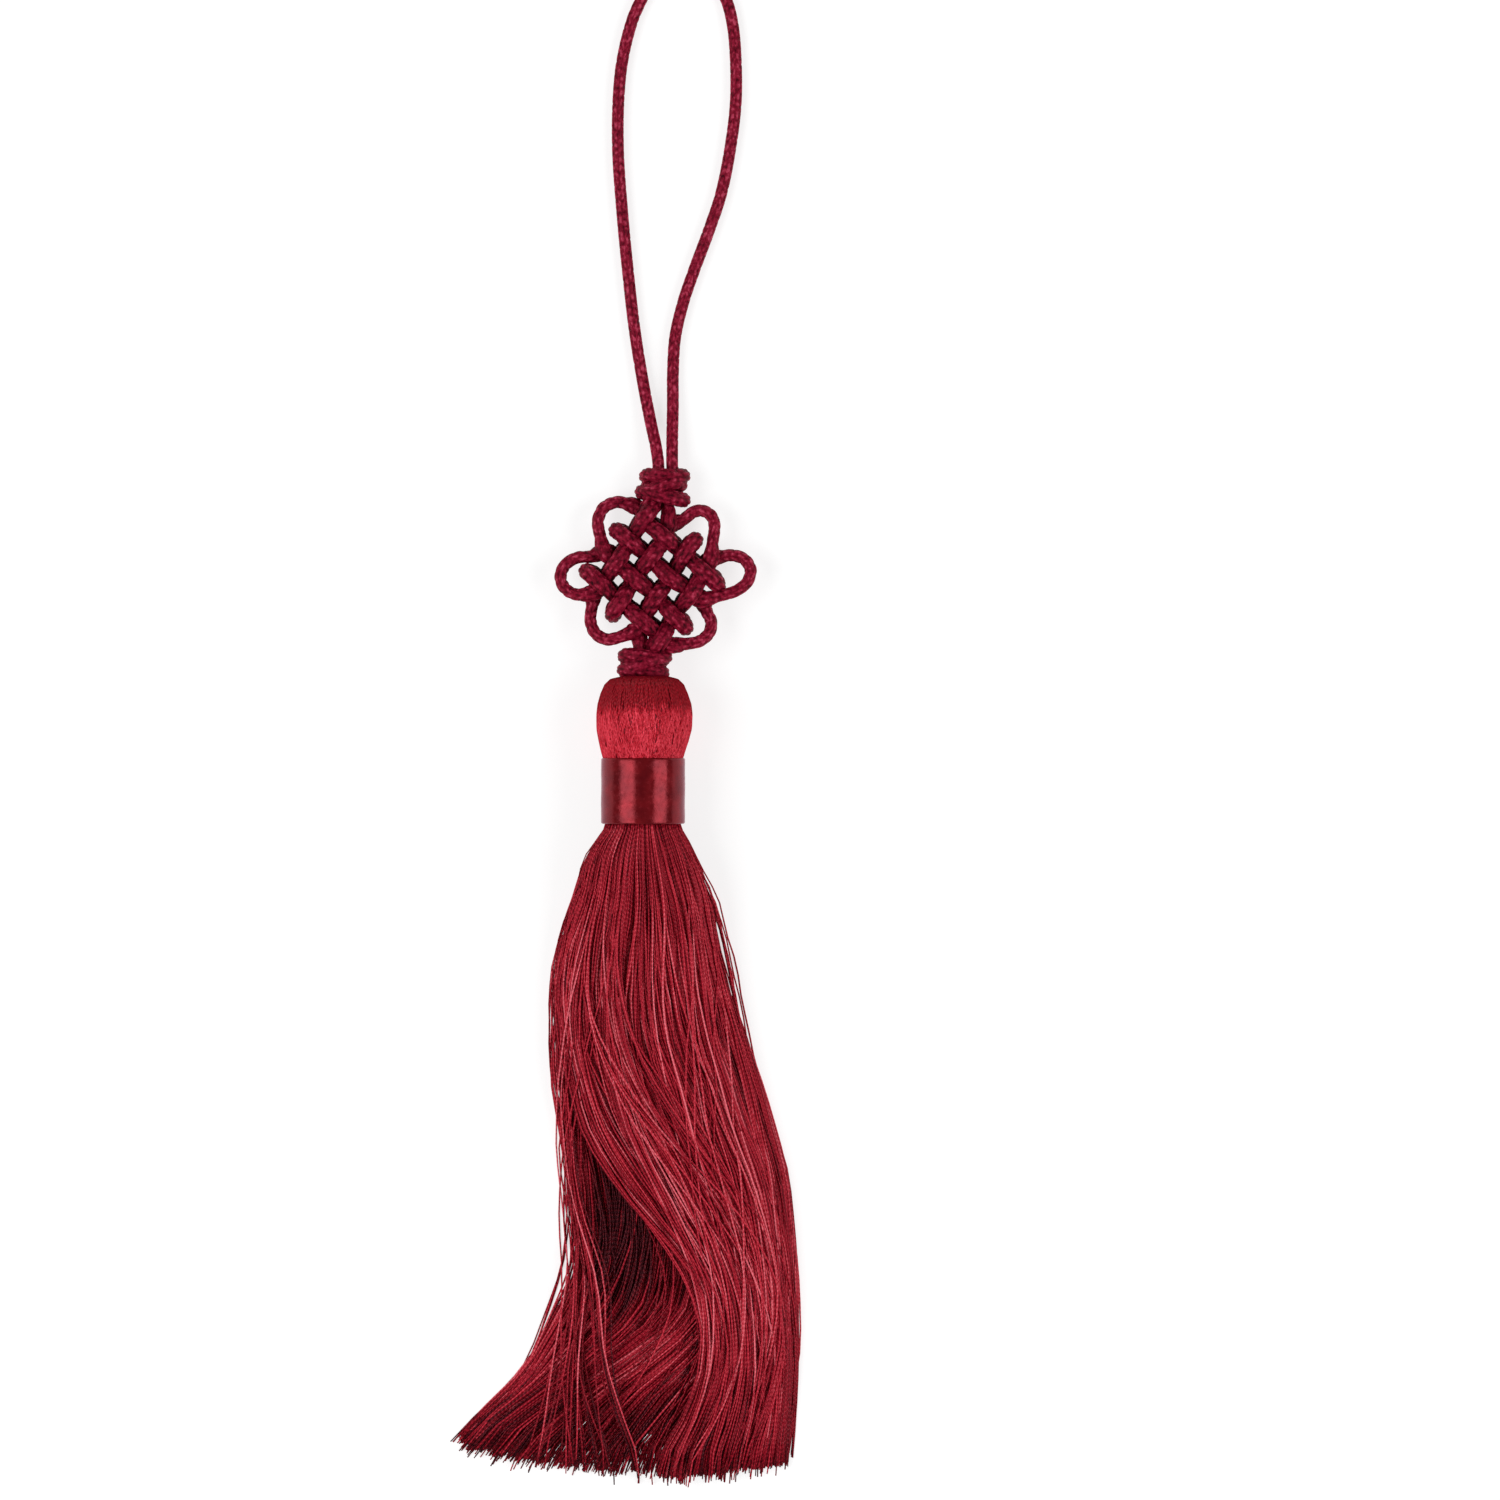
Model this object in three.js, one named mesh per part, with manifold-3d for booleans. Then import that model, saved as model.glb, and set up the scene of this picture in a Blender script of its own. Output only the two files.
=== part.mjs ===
// Knotted cord tassel lying on its back: a long cord loop, a woven flower knot between two double
// knots, and a bunch of silk yarn folded over into a head and held by a satin collar.
// Millimetres, +Z up, +Y from the tassel's head towards the loop.
// The origin is on the surface under the head, at the middle of the head's flat spot.

import * as THREE from 'three';
import { mergeVertices } from 'three/addons/utils/BufferGeometryUtils.js';
import Module from 'manifold-3d';

const wasm = await Module();
wasm.setup();

// Driving dimensions

const CORD_DIAMETER = 2.1;
const CORD_RADIUS = CORD_DIAMETER / 2;
const AXIS_HEIGHT = 7.6;
const NECK_RADIUS = 6.05;
const NECK_CENTRE_X = -0.2;
const NECK_TOP = -7.15;
const NECK_END = -19.3;
const COLLAR_OUTER_RADIUS = 7.3;
const COLLAR_INNER_RADIUS = 6.35;
const COLLAR_TOP = -7.5;
const COLLAR_END = -18.95;
const COLLAR_BEVEL = 0.25;
const COLLAR_SIDES = 40;

// Knot sizes: lines one way are called a, lines the other way b, four of each

const LINES_EACH_WAY = 4;
const FIRST_CROSSING = { x: 0, y: 34.5 };
const A_STEP = { x: 3.49, y: -3.14 };
const B_STEP = { x: -2.5, y: -3.83 };
const INNER_LIFT = 1.02;
const OUTER_LIFT = 2.5;
const OPEN_REACH = 0.4;
const TUBE_SIDES = 6;
const TUBE_STEP = 2.3;
const JOIN_SCALE = 0.95;

// The knot's middle plane falls from the head's axis to the surface at the loop.
const MIDDLE_AT_HEAD = 7.0;
const MIDDLE_AT_LOOP = 3.25;
const KNOT_START_Y = 6.3;
const KNOT_END_Y = 43.2;

// A hairpin turns over at its closed end: where the turn starts between the last crossing and the
// tip, how much lower the cord is there, and its height at the tip, as shares of its lift.
const TURN_START = 0.62;
const TURN_DROP = 0.18;
const TIP_LIFT = 0.36;
const EAR_TUCK = 0.15;

// Each line is a hairpin of two strands: closed says which end turns over, reach how far it goes
// past its last crossing, in steps.
const HAIRPINS = [
  { kind: 'a', index: 0, closed: 'far', reach: 0.64 },
  { kind: 'a', index: 1, closed: 'near', reach: 0.54 },
  { kind: 'a', index: 2, closed: 'far', reach: 0.54 },
  { kind: 'a', index: 3, closed: 'near', reach: 0.6 },
  { kind: 'b', index: 0, closed: 'near', reach: 0.5 },
  { kind: 'b', index: 1, closed: 'far', reach: 0.54 },
  { kind: 'b', index: 2, closed: 'near', reach: 0.54 },
  { kind: 'b', index: 3, closed: 'far', reach: 0.42 },
];

// The six ears, each from the back strand of one line to the front strand of another, with the
// bow's points as [x, y].
const EARS = [
  {
    from: { kind: 'a', index: 0 },
    to: { kind: 'a', index: 2 },
    bow: [[-3.0, 36.8], [-5.0, 37.1], [-7.2, 36.0], [-8.1, 33.8], [-7.7, 31.1]],
  },
  {
    from: { kind: 'a', index: 2 },
    to: { kind: 'b', index: 0 },
    bow: [[-9.3, 27.6], [-11.7, 27.4], [-13.8, 26.1], [-14.6, 24.0], [-13.8, 22.0], [-11.7, 20.9]],
  },
  {
    from: { kind: 'b', index: 0 },
    to: { kind: 'b', index: 2 },
    bow: [[-9.1, 19.0], [-9.4, 16.6], [-8.6, 14.3], [-6.6, 13.1], [-4.4, 13.5]],
  },
  {
    from: { kind: 'b', index: 1 },
    to: { kind: 'b', index: 3 },
    bow: [[6.8, 34.1], [8.4, 35.3], [10.0, 35.6], [11.6, 34.7], [12.2, 32.9], [11.9, 30.3]],
  },
  {
    from: { kind: 'b', index: 3 },
    to: { kind: 'a', index: 1 },
    bow: [[13.1, 27.5], [15.4, 27.8], [17.5, 27.0], [18.5, 25.1], [17.8, 23.0], [15.8, 21.5], [12.6, 20.6]],
  },
  {
    from: { kind: 'a', index: 1 },
    to: { kind: 'a', index: 3 },
    bow: [[10.8, 18.0], [11.6, 16.2], [11.3, 14.3], [9.6, 12.8], [7.0, 12.3]],
  },
];

// The cord's runs into the double knots and between them and the woven knot, as [x, y, lift above the
// middle plane].
const LEADS = [
  [[2.4, 43.2, 0], [2.3, 41.6, 0], [2.2, 40, 0]],
  [[4.9, 43.2, 0], [4.85, 41.6, 0], [4.8, 40, 0]],
  [[1.6, 38.2, 0.1], [1.3, 37, 0.3], [0.2, 36.2, 0.7], [-0.7, 35.2, 1.0]],
  [[4.9, 38.2, 0], [5.1, 36.4, 0.3], [5.0, 34.2, 0.8], [4.2, 32.5, 1.0]],
  [[-1.2, 16.0, -1.0], [-1.9, 13.6, -0.7], [-1.6, 11.2, 0], [-1.3, 9.5, 0]],
  [[3.6, 13.0, -1.0], [3.6, 11.9, -0.9], [2.2, 10.6, -0.3], [1.2, 9.5, 0]],
];

// The two double knots, as the turns of cord round them from top to bottom. Tilt is in degrees,
// right side up.
const DOUBLE_KNOTS = [
  [
    { x: 3.6, y: 41.8, halfWidth: 4.4, halfDepth: 3.05, tilt: -4 },
    { x: 3.4, y: 39.7, halfWidth: 4.2, halfDepth: 2.95, tilt: -7 },
    { x: 3.2, y: 37.6, halfWidth: 4.5, halfDepth: 3.05, tilt: -10 },
  ],
  [
    { x: 0.05, y: 9.8, halfWidth: 4.6, halfDepth: 3.1, tilt: -4 },
    { x: -0.25, y: 7.6, halfWidth: 4.2, halfDepth: 2.95, tilt: -1 },
  ],
];
const TURN_SIDES = 18;
const TURN_ANGLES = [64, 22, -22, -64];
const FEWEST_STEPS = 3;

// The loop's route, chosen by hand: [x, y, z] of the cord's middle, up the right side, over the
// top and down the left side.
const LOOP_ROUTE = [
  [4.8, 43.5, 3.2], [4.8, 48.1, 2.5], [4.9, 54.3, 1.5], [4.9, 59.6, 1.1], [5.3, 66.0, 1.1],
  [6.7, 72.1, 1.1], [8.6, 77.7, 1.1], [11.2, 84.7, 1.1], [13.3, 91.0, 1.1], [14.9, 98.9, 1.1],
  [15.9, 107.3, 1.1], [15.8, 116.2, 1.1], [15.3, 120.9, 1.1], [14.2, 125.1, 1.1], [11.7, 129.7, 1.1],
  [7.9, 132.4, 1.1], [4.0, 131.8, 1.1], [1.2, 128.7, 1.1], [-0.6, 125.1, 1.1], [-2.2, 121.4, 1.1],
  [-3.9, 114.6, 1.1], [-4.6, 107.8, 1.1], [-4.7, 98.9, 1.1], [-4.0, 88.4, 1.1], [-3.0, 77.9, 1.1],
  [-1.8, 67.4, 1.1], [-0.3, 58.0, 1.2], [1.1, 50.8, 2.0], [2.0, 46.6, 2.8], [2.4, 43.5, 3.2],
];
const LOOP_SIDES = 8;
const LOOP_STEPS = 50;

// The head and the neck, from top to bottom: y, radius and the middle's x.
const HEAD_SECTIONS = [
  { y: 6.1, radius: 4.4, x: 0.7 },
  { y: 5.7, radius: 5.8, x: 0.5 },
  { y: 4.8, radius: 6.9, x: 0.2 },
  { y: 3.2, radius: 7.75, x: 0.1 },
  { y: 1.6, radius: 8.2, x: 0.1 },
  { y: 0, radius: 8.4, x: 0 },
  { y: -3.0, radius: 8.35, x: 0 },
  { y: -5.2, radius: 8.0, x: -0.1 },
  { y: -6.6, radius: 7.5, x: -0.2 },
  { y: NECK_TOP, radius: 6.8, x: NECK_CENTRE_X },
  { y: NECK_TOP, radius: NECK_RADIUS, x: NECK_CENTRE_X },
  { y: NECK_END, radius: NECK_RADIUS, x: NECK_CENTRE_X },
];
const HEAD_SIDES = 36;
const HEAD_RIDGE = 0.1;

// The skirt's outline: at is the share of the length from the collar to the tips, low is the
// underside's height, and thick the height over the middle.
const SKIRT_SECTIONS = [
  { at: 0, left: -5.7, right: 5.3, low: 2.1, thick: 11 },
  { at: 0.015, left: -7.5, right: 6.9, low: 1.0, thick: 12.9 },
  { at: 0.04, left: -9.6, right: 8.9, low: 0.5, thick: 13.2 },
  { at: 0.09, left: -12.4, right: 11.8, low: 0.15, thick: 12.8 },
  { at: 0.2, left: -15.9, right: 16.2, low: 0, thick: 11.0 },
  { at: 0.34, left: -16.7, right: 18.4, low: 0, thick: 9.4 },
  { at: 0.5, left: -14.0, right: 23.2, low: 0, thick: 8.4 },
  { at: 0.68, left: -14.2, right: 26.4, low: 0, thick: 7.4 },
  { at: 0.84, left: -20.8, right: 27.0, low: 0, thick: 6.4 },
  { at: 1, left: -31.6, right: 25.6, low: 0, thick: 5.2 },
];
const TIP_Y = { left: -126.5, middle: -133, right: -131.5 };
const LAYERS = 8;
const MOST_ACROSS = 22;
const WIDEST_STRAND = 1.1;
const WIDTH_SHARE = 0.82;
const STRAND_HEIGHTS = [
  { at: 0, height: 0.5 },
  { at: 0.2, height: 0.65 },
  { at: 0.8, height: 0.6 },
  { at: 1, height: 0.4 },
];
const STRAND_STATIONS = [0, 0.015, 0.04, 0.11, 0.24, 0.42, 0.62, 0.82, 1];
const SHIFT_SHARE = 0.6;
const STRAND_SWAY = 1.3;
const SWAY_ALONG = 7;
const SWAY_BY_LAYER = 4;
const LYING_AT = 0.2;
const LEVEL_BELOW = 0.3;
const RAGGED_TIPS = 4;
const UNEVEN = 0.15;
const CHANCE = { perStrand: 12.9898, perTrait: 78.233, spread: 43758.5453 };

// Materials

const cordMaterial = new THREE.MeshStandardMaterial({ color: 0x6e1428, roughness: 0.72, metalness: 0 });
const loopMaterial = new THREE.MeshStandardMaterial({ color: 0x741629, roughness: 0.72, metalness: 0 });
const satinMaterial = new THREE.MeshStandardMaterial({ color: 0x801824, roughness: 0.34, metalness: 0 });
const yarnMaterial = new THREE.MeshStandardMaterial({ color: 0xa01c30, roughness: 0.5, metalness: 0 });

// Small helpers

// A repeatable number from 0 to 1 for a strand and one of its traits.
function chance(strand, trait) {
  const wave = Math.sin(strand * CHANCE.perStrand + trait * CHANCE.perTrait) * CHANCE.spread;
  return wave - Math.floor(wave);
}

// The value of one column at a place between the rows of a table.
function between(rows, key, place, column) {
  let row = 0;
  while (row < rows.length - 2 && place > rows[row + 1][key]) {
    row += 1;
  }
  const share = (place - rows[row][key]) / (rows[row + 1][key] - rows[row][key]);
  return THREE.MathUtils.lerp(rows[row][column], rows[row + 1][column], THREE.MathUtils.clamp(share, 0, 1));
}

function pointsOnly(geometry) {
  geometry.deleteAttribute('normal');
  geometry.deleteAttribute('uv');
  return mergeVertices(geometry, 1e-4);
}

function solidFrom(geometry) {
  const mesh = new wasm.Mesh({
    numProp: 3,
    vertProperties: new Float32Array(geometry.attributes.position.array),
    triVerts: new Uint32Array(geometry.index.array),
  });
  return new wasm.Manifold(mesh);
}

function geometryFrom(solid) {
  const mesh = solid.getMesh();
  const geometry = new THREE.BufferGeometry();
  geometry.setAttribute('position', new THREE.Float32BufferAttribute(mesh.vertProperties, 3));
  geometry.setIndex(new THREE.Uint32BufferAttribute(mesh.triVerts, 1));
  geometry.computeVertexNormals();
  return geometry;
}

// A skin is a list of points and the triangles between them, built up ring by ring. Rings run
// anticlockwise as seen from their end with the lower y.
function addRing(skin, ring) {
  const first = skin.points.length;
  skin.points.push(...ring);
  return ring.map((point, at) => first + at);
}

function joinRings(skin, upper, lower) {
  upper.forEach((here, at) => {
    const beside = upper[(at + 1) % upper.length];
    const below = lower[at];
    const belowBeside = lower[(at + 1) % lower.length];
    skin.faces.push(here, beside, below, beside, belowBeside, below);
  });
}

function closeRing(skin, ring, atTop) {
  for (let at = 1; at < ring.length - 1; at += 1) {
    const pair = atTop ? [ring[at + 1], ring[at]] : [ring[at], ring[at + 1]];
    skin.faces.push(ring[0], ...pair);
  }
}

function geometryOf(skin) {
  const geometry = new THREE.BufferGeometry().setFromPoints(skin.points);
  geometry.setIndex(skin.faces);
  geometry.computeVertexNormals();
  return geometry;
}

function cordTube(points, radius, sides, steps) {
  const curve = new THREE.CatmullRomCurve3(points, false, 'centripetal');
  const corners = [];
  for (let side = 0; side < sides; side += 1) {
    const angle = ((side + 0.5) / sides) * 2 * Math.PI;
    corners.push(new THREE.Vector2(radius * Math.cos(angle), radius * Math.sin(angle)));
  }
  const options = {
    steps: steps ?? Math.max(FEWEST_STEPS, Math.round(curve.getLength() / TUBE_STEP)),
    extrudePath: curve,
    bevelEnabled: false,
  };
  return pointsOnly(new THREE.ExtrudeGeometry(new THREE.Shape(corners), options));
}

// The knots

function middleHeight(y) {
  const share = (y - KNOT_START_Y) / (KNOT_END_Y - KNOT_START_Y);
  return THREE.MathUtils.lerp(MIDDLE_AT_HEAD, MIDDLE_AT_LOOP, share);
}

function onKnot(x, y, lift) {
  return new THREE.Vector3(x, y, middleHeight(y) + lift);
}

// A point on a line, counted in crossings from its near end, and its height in the weave: a lies
// outside b where the two counts add up to an odd number.
function onLine(kind, index, along, layer) {
  const a = kind === 'a' ? along : index;
  const b = kind === 'a' ? index : along;
  const x = FIRST_CROSSING.x + a * A_STEP.x + b * B_STEP.x;
  const y = FIRST_CROSSING.y + a * A_STEP.y + b * B_STEP.y;
  const nearest = THREE.MathUtils.clamp(Math.round(along), 0, LINES_EACH_WAY - 1);
  const aOutside = (index + nearest) % 2 === 1;
  const outside = (kind === 'a') === aOutside;
  return onKnot(x, y, layer * (outside ? OUTER_LIFT : INNER_LIFT));
}

function hairpinFor(line) {
  return HAIRPINS.find((hairpin) => hairpin.kind === line.kind && hairpin.index === line.index);
}

// How far along its line a hairpin's open end is, for a reach past the last crossing.
function openPlace(hairpin, reach) {
  return hairpin.closed === 'far' ? -reach : LINES_EACH_WAY - 1 + reach;
}

function hairpinPoints(hairpin) {
  const { kind, index, closed, reach } = hairpin;
  const crossings = [...Array(LINES_EACH_WAY).keys()];
  if (closed === 'near') {
    crossings.reverse();
  }
  const turn = closed === 'far' ? LINES_EACH_WAY - 1 + reach : -reach;
  const turnStart = THREE.MathUtils.lerp(crossings[crossings.length - 1], turn, TURN_START);
  const points = [onLine(kind, index, openPlace(hairpin, OPEN_REACH), 1)];
  crossings.forEach((along) => points.push(onLine(kind, index, along, 1)));
  const front = onLine(kind, index, turnStart, 1);
  const tip = onLine(kind, index, turn, 1);
  const back = onLine(kind, index, turnStart, -1);
  const lift = front.z - middleHeight(front.y);
  points.push(front.clone().setZ(front.z - TURN_DROP * lift));
  points.push(onKnot(tip.x, tip.y, TIP_LIFT * lift));
  points.push(onKnot(tip.x, tip.y, -TIP_LIFT * lift));
  points.push(back.clone().setZ(back.z + TURN_DROP * lift));
  crossings.reverse().forEach((along) => points.push(onLine(kind, index, along, -1)));
  points.push(onLine(kind, index, openPlace(hairpin, OPEN_REACH), -1));
  return points;
}

function earPoints(ear) {
  const start = hairpinFor(ear.from);
  const end = hairpinFor(ear.to);
  const bow = ear.bow.map(([x, y], at) => {
    const share = (at + 1) / (ear.bow.length + 1);
    return onKnot(x, y, THREE.MathUtils.lerp(-INNER_LIFT, INNER_LIFT, share));
  });
  return [
    onLine(start.kind, start.index, openPlace(start, EAR_TUCK), -1),
    onLine(start.kind, start.index, openPlace(start, OPEN_REACH), -1),
    ...bow,
    onLine(end.kind, end.index, openPlace(end, OPEN_REACH), 1),
    onLine(end.kind, end.index, openPlace(end, EAR_TUCK), 1),
  ];
}

// A ring round a turn of cord, at an angle in degrees up from the turn's widest part.
function turnRing({ x, y, halfWidth, halfDepth, tilt }, angle) {
  const drawnIn = CORD_RADIUS * (1 - Math.cos(THREE.MathUtils.degToRad(angle)));
  const rise = CORD_RADIUS * Math.sin(THREE.MathUtils.degToRad(angle));
  const slope = Math.tan(THREE.MathUtils.degToRad(tilt));
  const ring = [];
  for (let side = 0; side < TURN_SIDES; side += 1) {
    const around = (side / TURN_SIDES) * 2 * Math.PI;
    const out = (halfWidth - drawnIn) * Math.cos(around);
    const lift = (halfDepth - drawnIn) * Math.sin(around);
    ring.push(new THREE.Vector3(x + out, y + rise + slope * out, middleHeight(y) + lift));
  }
  return ring;
}

function doubleKnotGeometry(turns) {
  const skin = { points: [], faces: [] };
  const rings = turns.flatMap((turn) => TURN_ANGLES.map((angle) => addRing(skin, turnRing(turn, angle))));
  rings.slice(1).forEach((ring, at) => joinRings(skin, rings[at], ring));
  closeRing(skin, rings[0], true);
  closeRing(skin, rings[rings.length - 1], false);
  return geometryOf(skin);
}

function makeKnottedCord() {
  const pieces = HAIRPINS.map((hairpin) => cordTube(hairpinPoints(hairpin), CORD_RADIUS, TUBE_SIDES));
  EARS.forEach((ear) => pieces.push(cordTube(earPoints(ear), CORD_RADIUS * JOIN_SCALE, TUBE_SIDES)));
  LEADS.forEach((lead) => {
    const points = lead.map(([x, y, lift]) => onKnot(x, y, lift));
    pieces.push(cordTube(points, CORD_RADIUS * JOIN_SCALE, TUBE_SIDES));
  });
  DOUBLE_KNOTS.forEach((turns) => pieces.push(doubleKnotGeometry(turns)));
  const whole = pieces.map(solidFrom).reduce((sum, piece) => sum.add(piece));
  const mesh = new THREE.Mesh(geometryFrom(whole), cordMaterial);
  mesh.name = 'knotted_cord';
  return mesh;
}

function makeHangingLoop() {
  const route = LOOP_ROUTE.map(([x, y, z]) => new THREE.Vector3(x, y, z));
  const mesh = new THREE.Mesh(cordTube(route, CORD_RADIUS, LOOP_SIDES, LOOP_STEPS), loopMaterial);
  mesh.name = 'hanging_loop';
  return mesh;
}

// The collar

function makeSatinCollar() {
  const corners = [
    [COLLAR_INNER_RADIUS, COLLAR_END],
    [COLLAR_OUTER_RADIUS - COLLAR_BEVEL, COLLAR_END],
    [COLLAR_OUTER_RADIUS, COLLAR_END + COLLAR_BEVEL],
    [COLLAR_OUTER_RADIUS, COLLAR_TOP - COLLAR_BEVEL],
    [COLLAR_OUTER_RADIUS - COLLAR_BEVEL, COLLAR_TOP],
    [COLLAR_INNER_RADIUS, COLLAR_TOP],
    [COLLAR_INNER_RADIUS, COLLAR_END],
  ].map(([radius, y]) => new THREE.Vector2(radius, y));
  const mesh = new THREE.Mesh(pointsOnly(new THREE.LatheGeometry(corners, COLLAR_SIDES)), satinMaterial);
  mesh.name = 'satin_collar';
  mesh.position.set(NECK_CENTRE_X, 0, AXIS_HEIGHT);
  return mesh;
}

// The yarn

function headRing({ y, radius, x }) {
  const ring = [];
  for (let side = 0; side < HEAD_SIDES; side += 1) {
    const angle = (side / HEAD_SIDES) * 2 * Math.PI;
    const ridged = radius > NECK_RADIUS ? radius - (side % 2) * HEAD_RIDGE : radius;
    const z = Math.max(0, AXIS_HEIGHT + ridged * Math.sin(angle));
    ring.push(new THREE.Vector3(x + ridged * Math.cos(angle), y, z));
  }
  return ring;
}

// One strand, by its place across and up the bunch, both from -1 to 1. It is narrower than the
// space it has, and strands of one layer sway together, so all of them stay apart. The lowest layer
// lies level on the surface, and so does any strand that comes near it.
function strandRings({ across, up, chord, count, number, layer }) {
  const edgeTip = across < 0 ? TIP_Y.left : TIP_Y.right;
  const ragged = RAGGED_TIPS * chance(number, layer);
  const tipY = THREE.MathUtils.lerp(TIP_Y.middle, edgeTip, across * across) + ragged;
  const archShare = Math.sqrt(1 - across * across);
  const heightShare = layer === 0 ? 0 : (up / archShare + 1) / 2;
  return STRAND_STATIONS.map((at) => {
    const left = between(SKIRT_SECTIONS, 'at', at, 'left');
    const right = between(SKIRT_SECTIONS, 'at', at, 'right');
    const low = between(SKIRT_SECTIONS, 'at', at, 'low');
    const thick = between(SKIRT_SECTIONS, 'at', at, 'thick');
    const height = between(STRAND_HEIGHTS, 'at', at, 'height');
    const space = ((right - left) * chord) / count;
    const width = Math.min(WIDEST_STRAND, WIDTH_SHARE * space);
    const settled = THREE.MathUtils.smoothstep(at, 0, LYING_AT);
    const swing = Math.sin(at * SWAY_ALONG + up * SWAY_BY_LAYER);
    const sway = STRAND_SWAY * settled * swing * archShare * archShare;
    const shift = SHIFT_SHARE * (chance(number, layer + LAYERS) - 0.5) * (space - width);
    const middle = THREE.MathUtils.lerp(left + width / 2, right - width / 2, (across + 1) / 2);
    const x = middle + sway + shift;
    const y = THREE.MathUtils.lerp(NECK_END, tipY, at);
    const free = thick - height;
    const rounded = (1 - settled) * (0.5 * free * (1 - archShare) + UNEVEN * chance(number, layer + 0.5));
    const raised = low + rounded + free * archShare * heightShare;
    const base = raised < LEVEL_BELOW ? 0 : raised;
    return [
      new THREE.Vector3(x + width / 2, y, base),
      new THREE.Vector3(x, y, base + height),
      new THREE.Vector3(x - width / 2, y, base),
    ];
  });
}

function layOutStrands() {
  const strands = [];
  for (let layer = 0; layer < LAYERS; layer += 1) {
    const up = ((layer + 0.5) / LAYERS) * 2 - 1;
    const chord = Math.sqrt(1 - up * up);
    const count = Math.round(MOST_ACROSS * chord);
    for (let number = 0; number < count; number += 1) {
      const across = chord * (((number + 0.5) / count) * 2 - 1);
      strands.push({ across, up, chord, count, number, layer });
    }
  }
  return strands;
}

// Head, neck and strands in one skin: the neck's flat end has a hole for each strand, and the
// strand grows out of it.
function makeTasselYarn() {
  const skin = { points: [], faces: [] };
  const head = HEAD_SECTIONS.map((section) => addRing(skin, headRing(section)));
  head.slice(1).forEach((ring, at) => joinRings(skin, head[at], ring));
  closeRing(skin, head[0], true);
  const strands = layOutStrands().map((strand) => strandRings(strand).map((ring) => addRing(skin, ring)));
  strands.forEach((rings) => {
    rings.slice(1).forEach((ring, at) => joinRings(skin, rings[at], ring));
    closeRing(skin, rings[rings.length - 1], false);
  });
  const rim = head[head.length - 1];
  const flat = (index) => new THREE.Vector2(skin.points[index].x, skin.points[index].z);
  const roots = strands.map((rings) => rings[0]);
  const ends = [rim, ...roots].flat();
  const triangles = THREE.ShapeUtils.triangulateShape(rim.map(flat), roots.map((root) => root.map(flat)));
  triangles.forEach((corners) => skin.faces.push(...corners.map((corner) => ends[corner])));
  const mesh = new THREE.Mesh(geometryOf(skin), yarnMaterial);
  mesh.name = 'tassel_yarn';
  return mesh;
}

const tassel = new THREE.Group();
tassel.add(makeHangingLoop());
tassel.add(makeKnottedCord());
tassel.add(makeSatinCollar());
tassel.add(makeTasselYarn());

export default tassel;
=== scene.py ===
import math

import bmesh
import bpy
import numpy as np
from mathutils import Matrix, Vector


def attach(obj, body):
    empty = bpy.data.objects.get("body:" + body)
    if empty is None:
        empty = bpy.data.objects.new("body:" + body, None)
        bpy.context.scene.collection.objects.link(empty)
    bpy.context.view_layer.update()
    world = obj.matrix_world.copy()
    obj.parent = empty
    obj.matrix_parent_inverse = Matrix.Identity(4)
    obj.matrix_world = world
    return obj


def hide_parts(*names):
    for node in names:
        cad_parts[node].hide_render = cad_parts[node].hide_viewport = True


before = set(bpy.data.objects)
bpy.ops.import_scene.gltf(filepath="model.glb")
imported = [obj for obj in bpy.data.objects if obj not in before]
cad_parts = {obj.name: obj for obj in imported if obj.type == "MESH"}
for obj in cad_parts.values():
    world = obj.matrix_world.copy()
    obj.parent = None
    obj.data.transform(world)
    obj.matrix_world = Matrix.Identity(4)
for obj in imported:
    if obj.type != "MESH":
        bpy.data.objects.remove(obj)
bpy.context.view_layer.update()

# The looks of a knotted cord tassel that lies on its back, seen from straight above.
# Tables are in millimetres, as in the part's source, and meshes are in metres.

MM = 0.001

# Each random source has its own seed, counted on from this one.
SEED = 7

# Where a line stands nearly upright, or its cross with the upright is too short, ASIDE is taken.
UP, ASIDE = np.array([0.0, 0.0, 1.0]), np.array([1.0, 0.0, 0.0])
UPRIGHT, TOO_SHORT = 0.9, 0.05

# Cord and knots

BRAID_RADIUS = 1.1
TURN_RADIUS = 1.36
TURN_POINTS = 240

# Points between two given ones of a route
ROUTE_FINENESS = 24

# The weave: its first crossing, the steps along its two ways, the height of its lines, where an open
# end starts past its last crossing, in steps, and how far a line's front and back lie beside it.
FIRST_CROSSING = np.array([0.0, 34.5])
A_STEP = np.array([3.49, -3.14])
B_STEP = np.array([-2.5, -3.83])
LINES_EACH_WAY = 4
INNER_LIFT = 1.02
OUTER_LIFT = 2.6
OPEN_REACH = 0.4
STRAND_SHIFT = 0.25

# Each crossing is off its even place by up to this much, across and in height.
UNEVEN = 0.28
UNEVEN_LIFT = 0.15

# In the weave the cord is pressed wider, most of all where it lies outermost and at its closed ends.
# It swells by its height, as a share of the outer lift, and by its steps outside the weave.
PRESSED, SWOLLEN, FLATTENED = 0.08, 0.2, 0.1
SWOLLEN_LIFT = (0.45, 0.95)
SWOLLEN_OUTSIDE = (0.15, 0.4)
WEAVE_EDGE = (0.6, 1.0)

# Painted shade: how much darker the cord is inside the weave, and more where it runs below.
WEAVE_SHADE_INSIDE, WEAVE_SHADE_BELOW = 0.22, 0.55

# The height of the knots' middle at their two ends.
MIDDLE_AT_HEAD, MIDDLE_AT_LOOP = 7.0, 3.25
KNOT_START_Y, KNOT_END_Y = 6.3, 43.2

# Where a closed end's curve starts, how much lower the cord is there, and how high at its tip
HAIRPIN_START = 0.62
HAIRPIN_LOWERED = 0.18
HAIRPIN_TIP = 0.36

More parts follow.
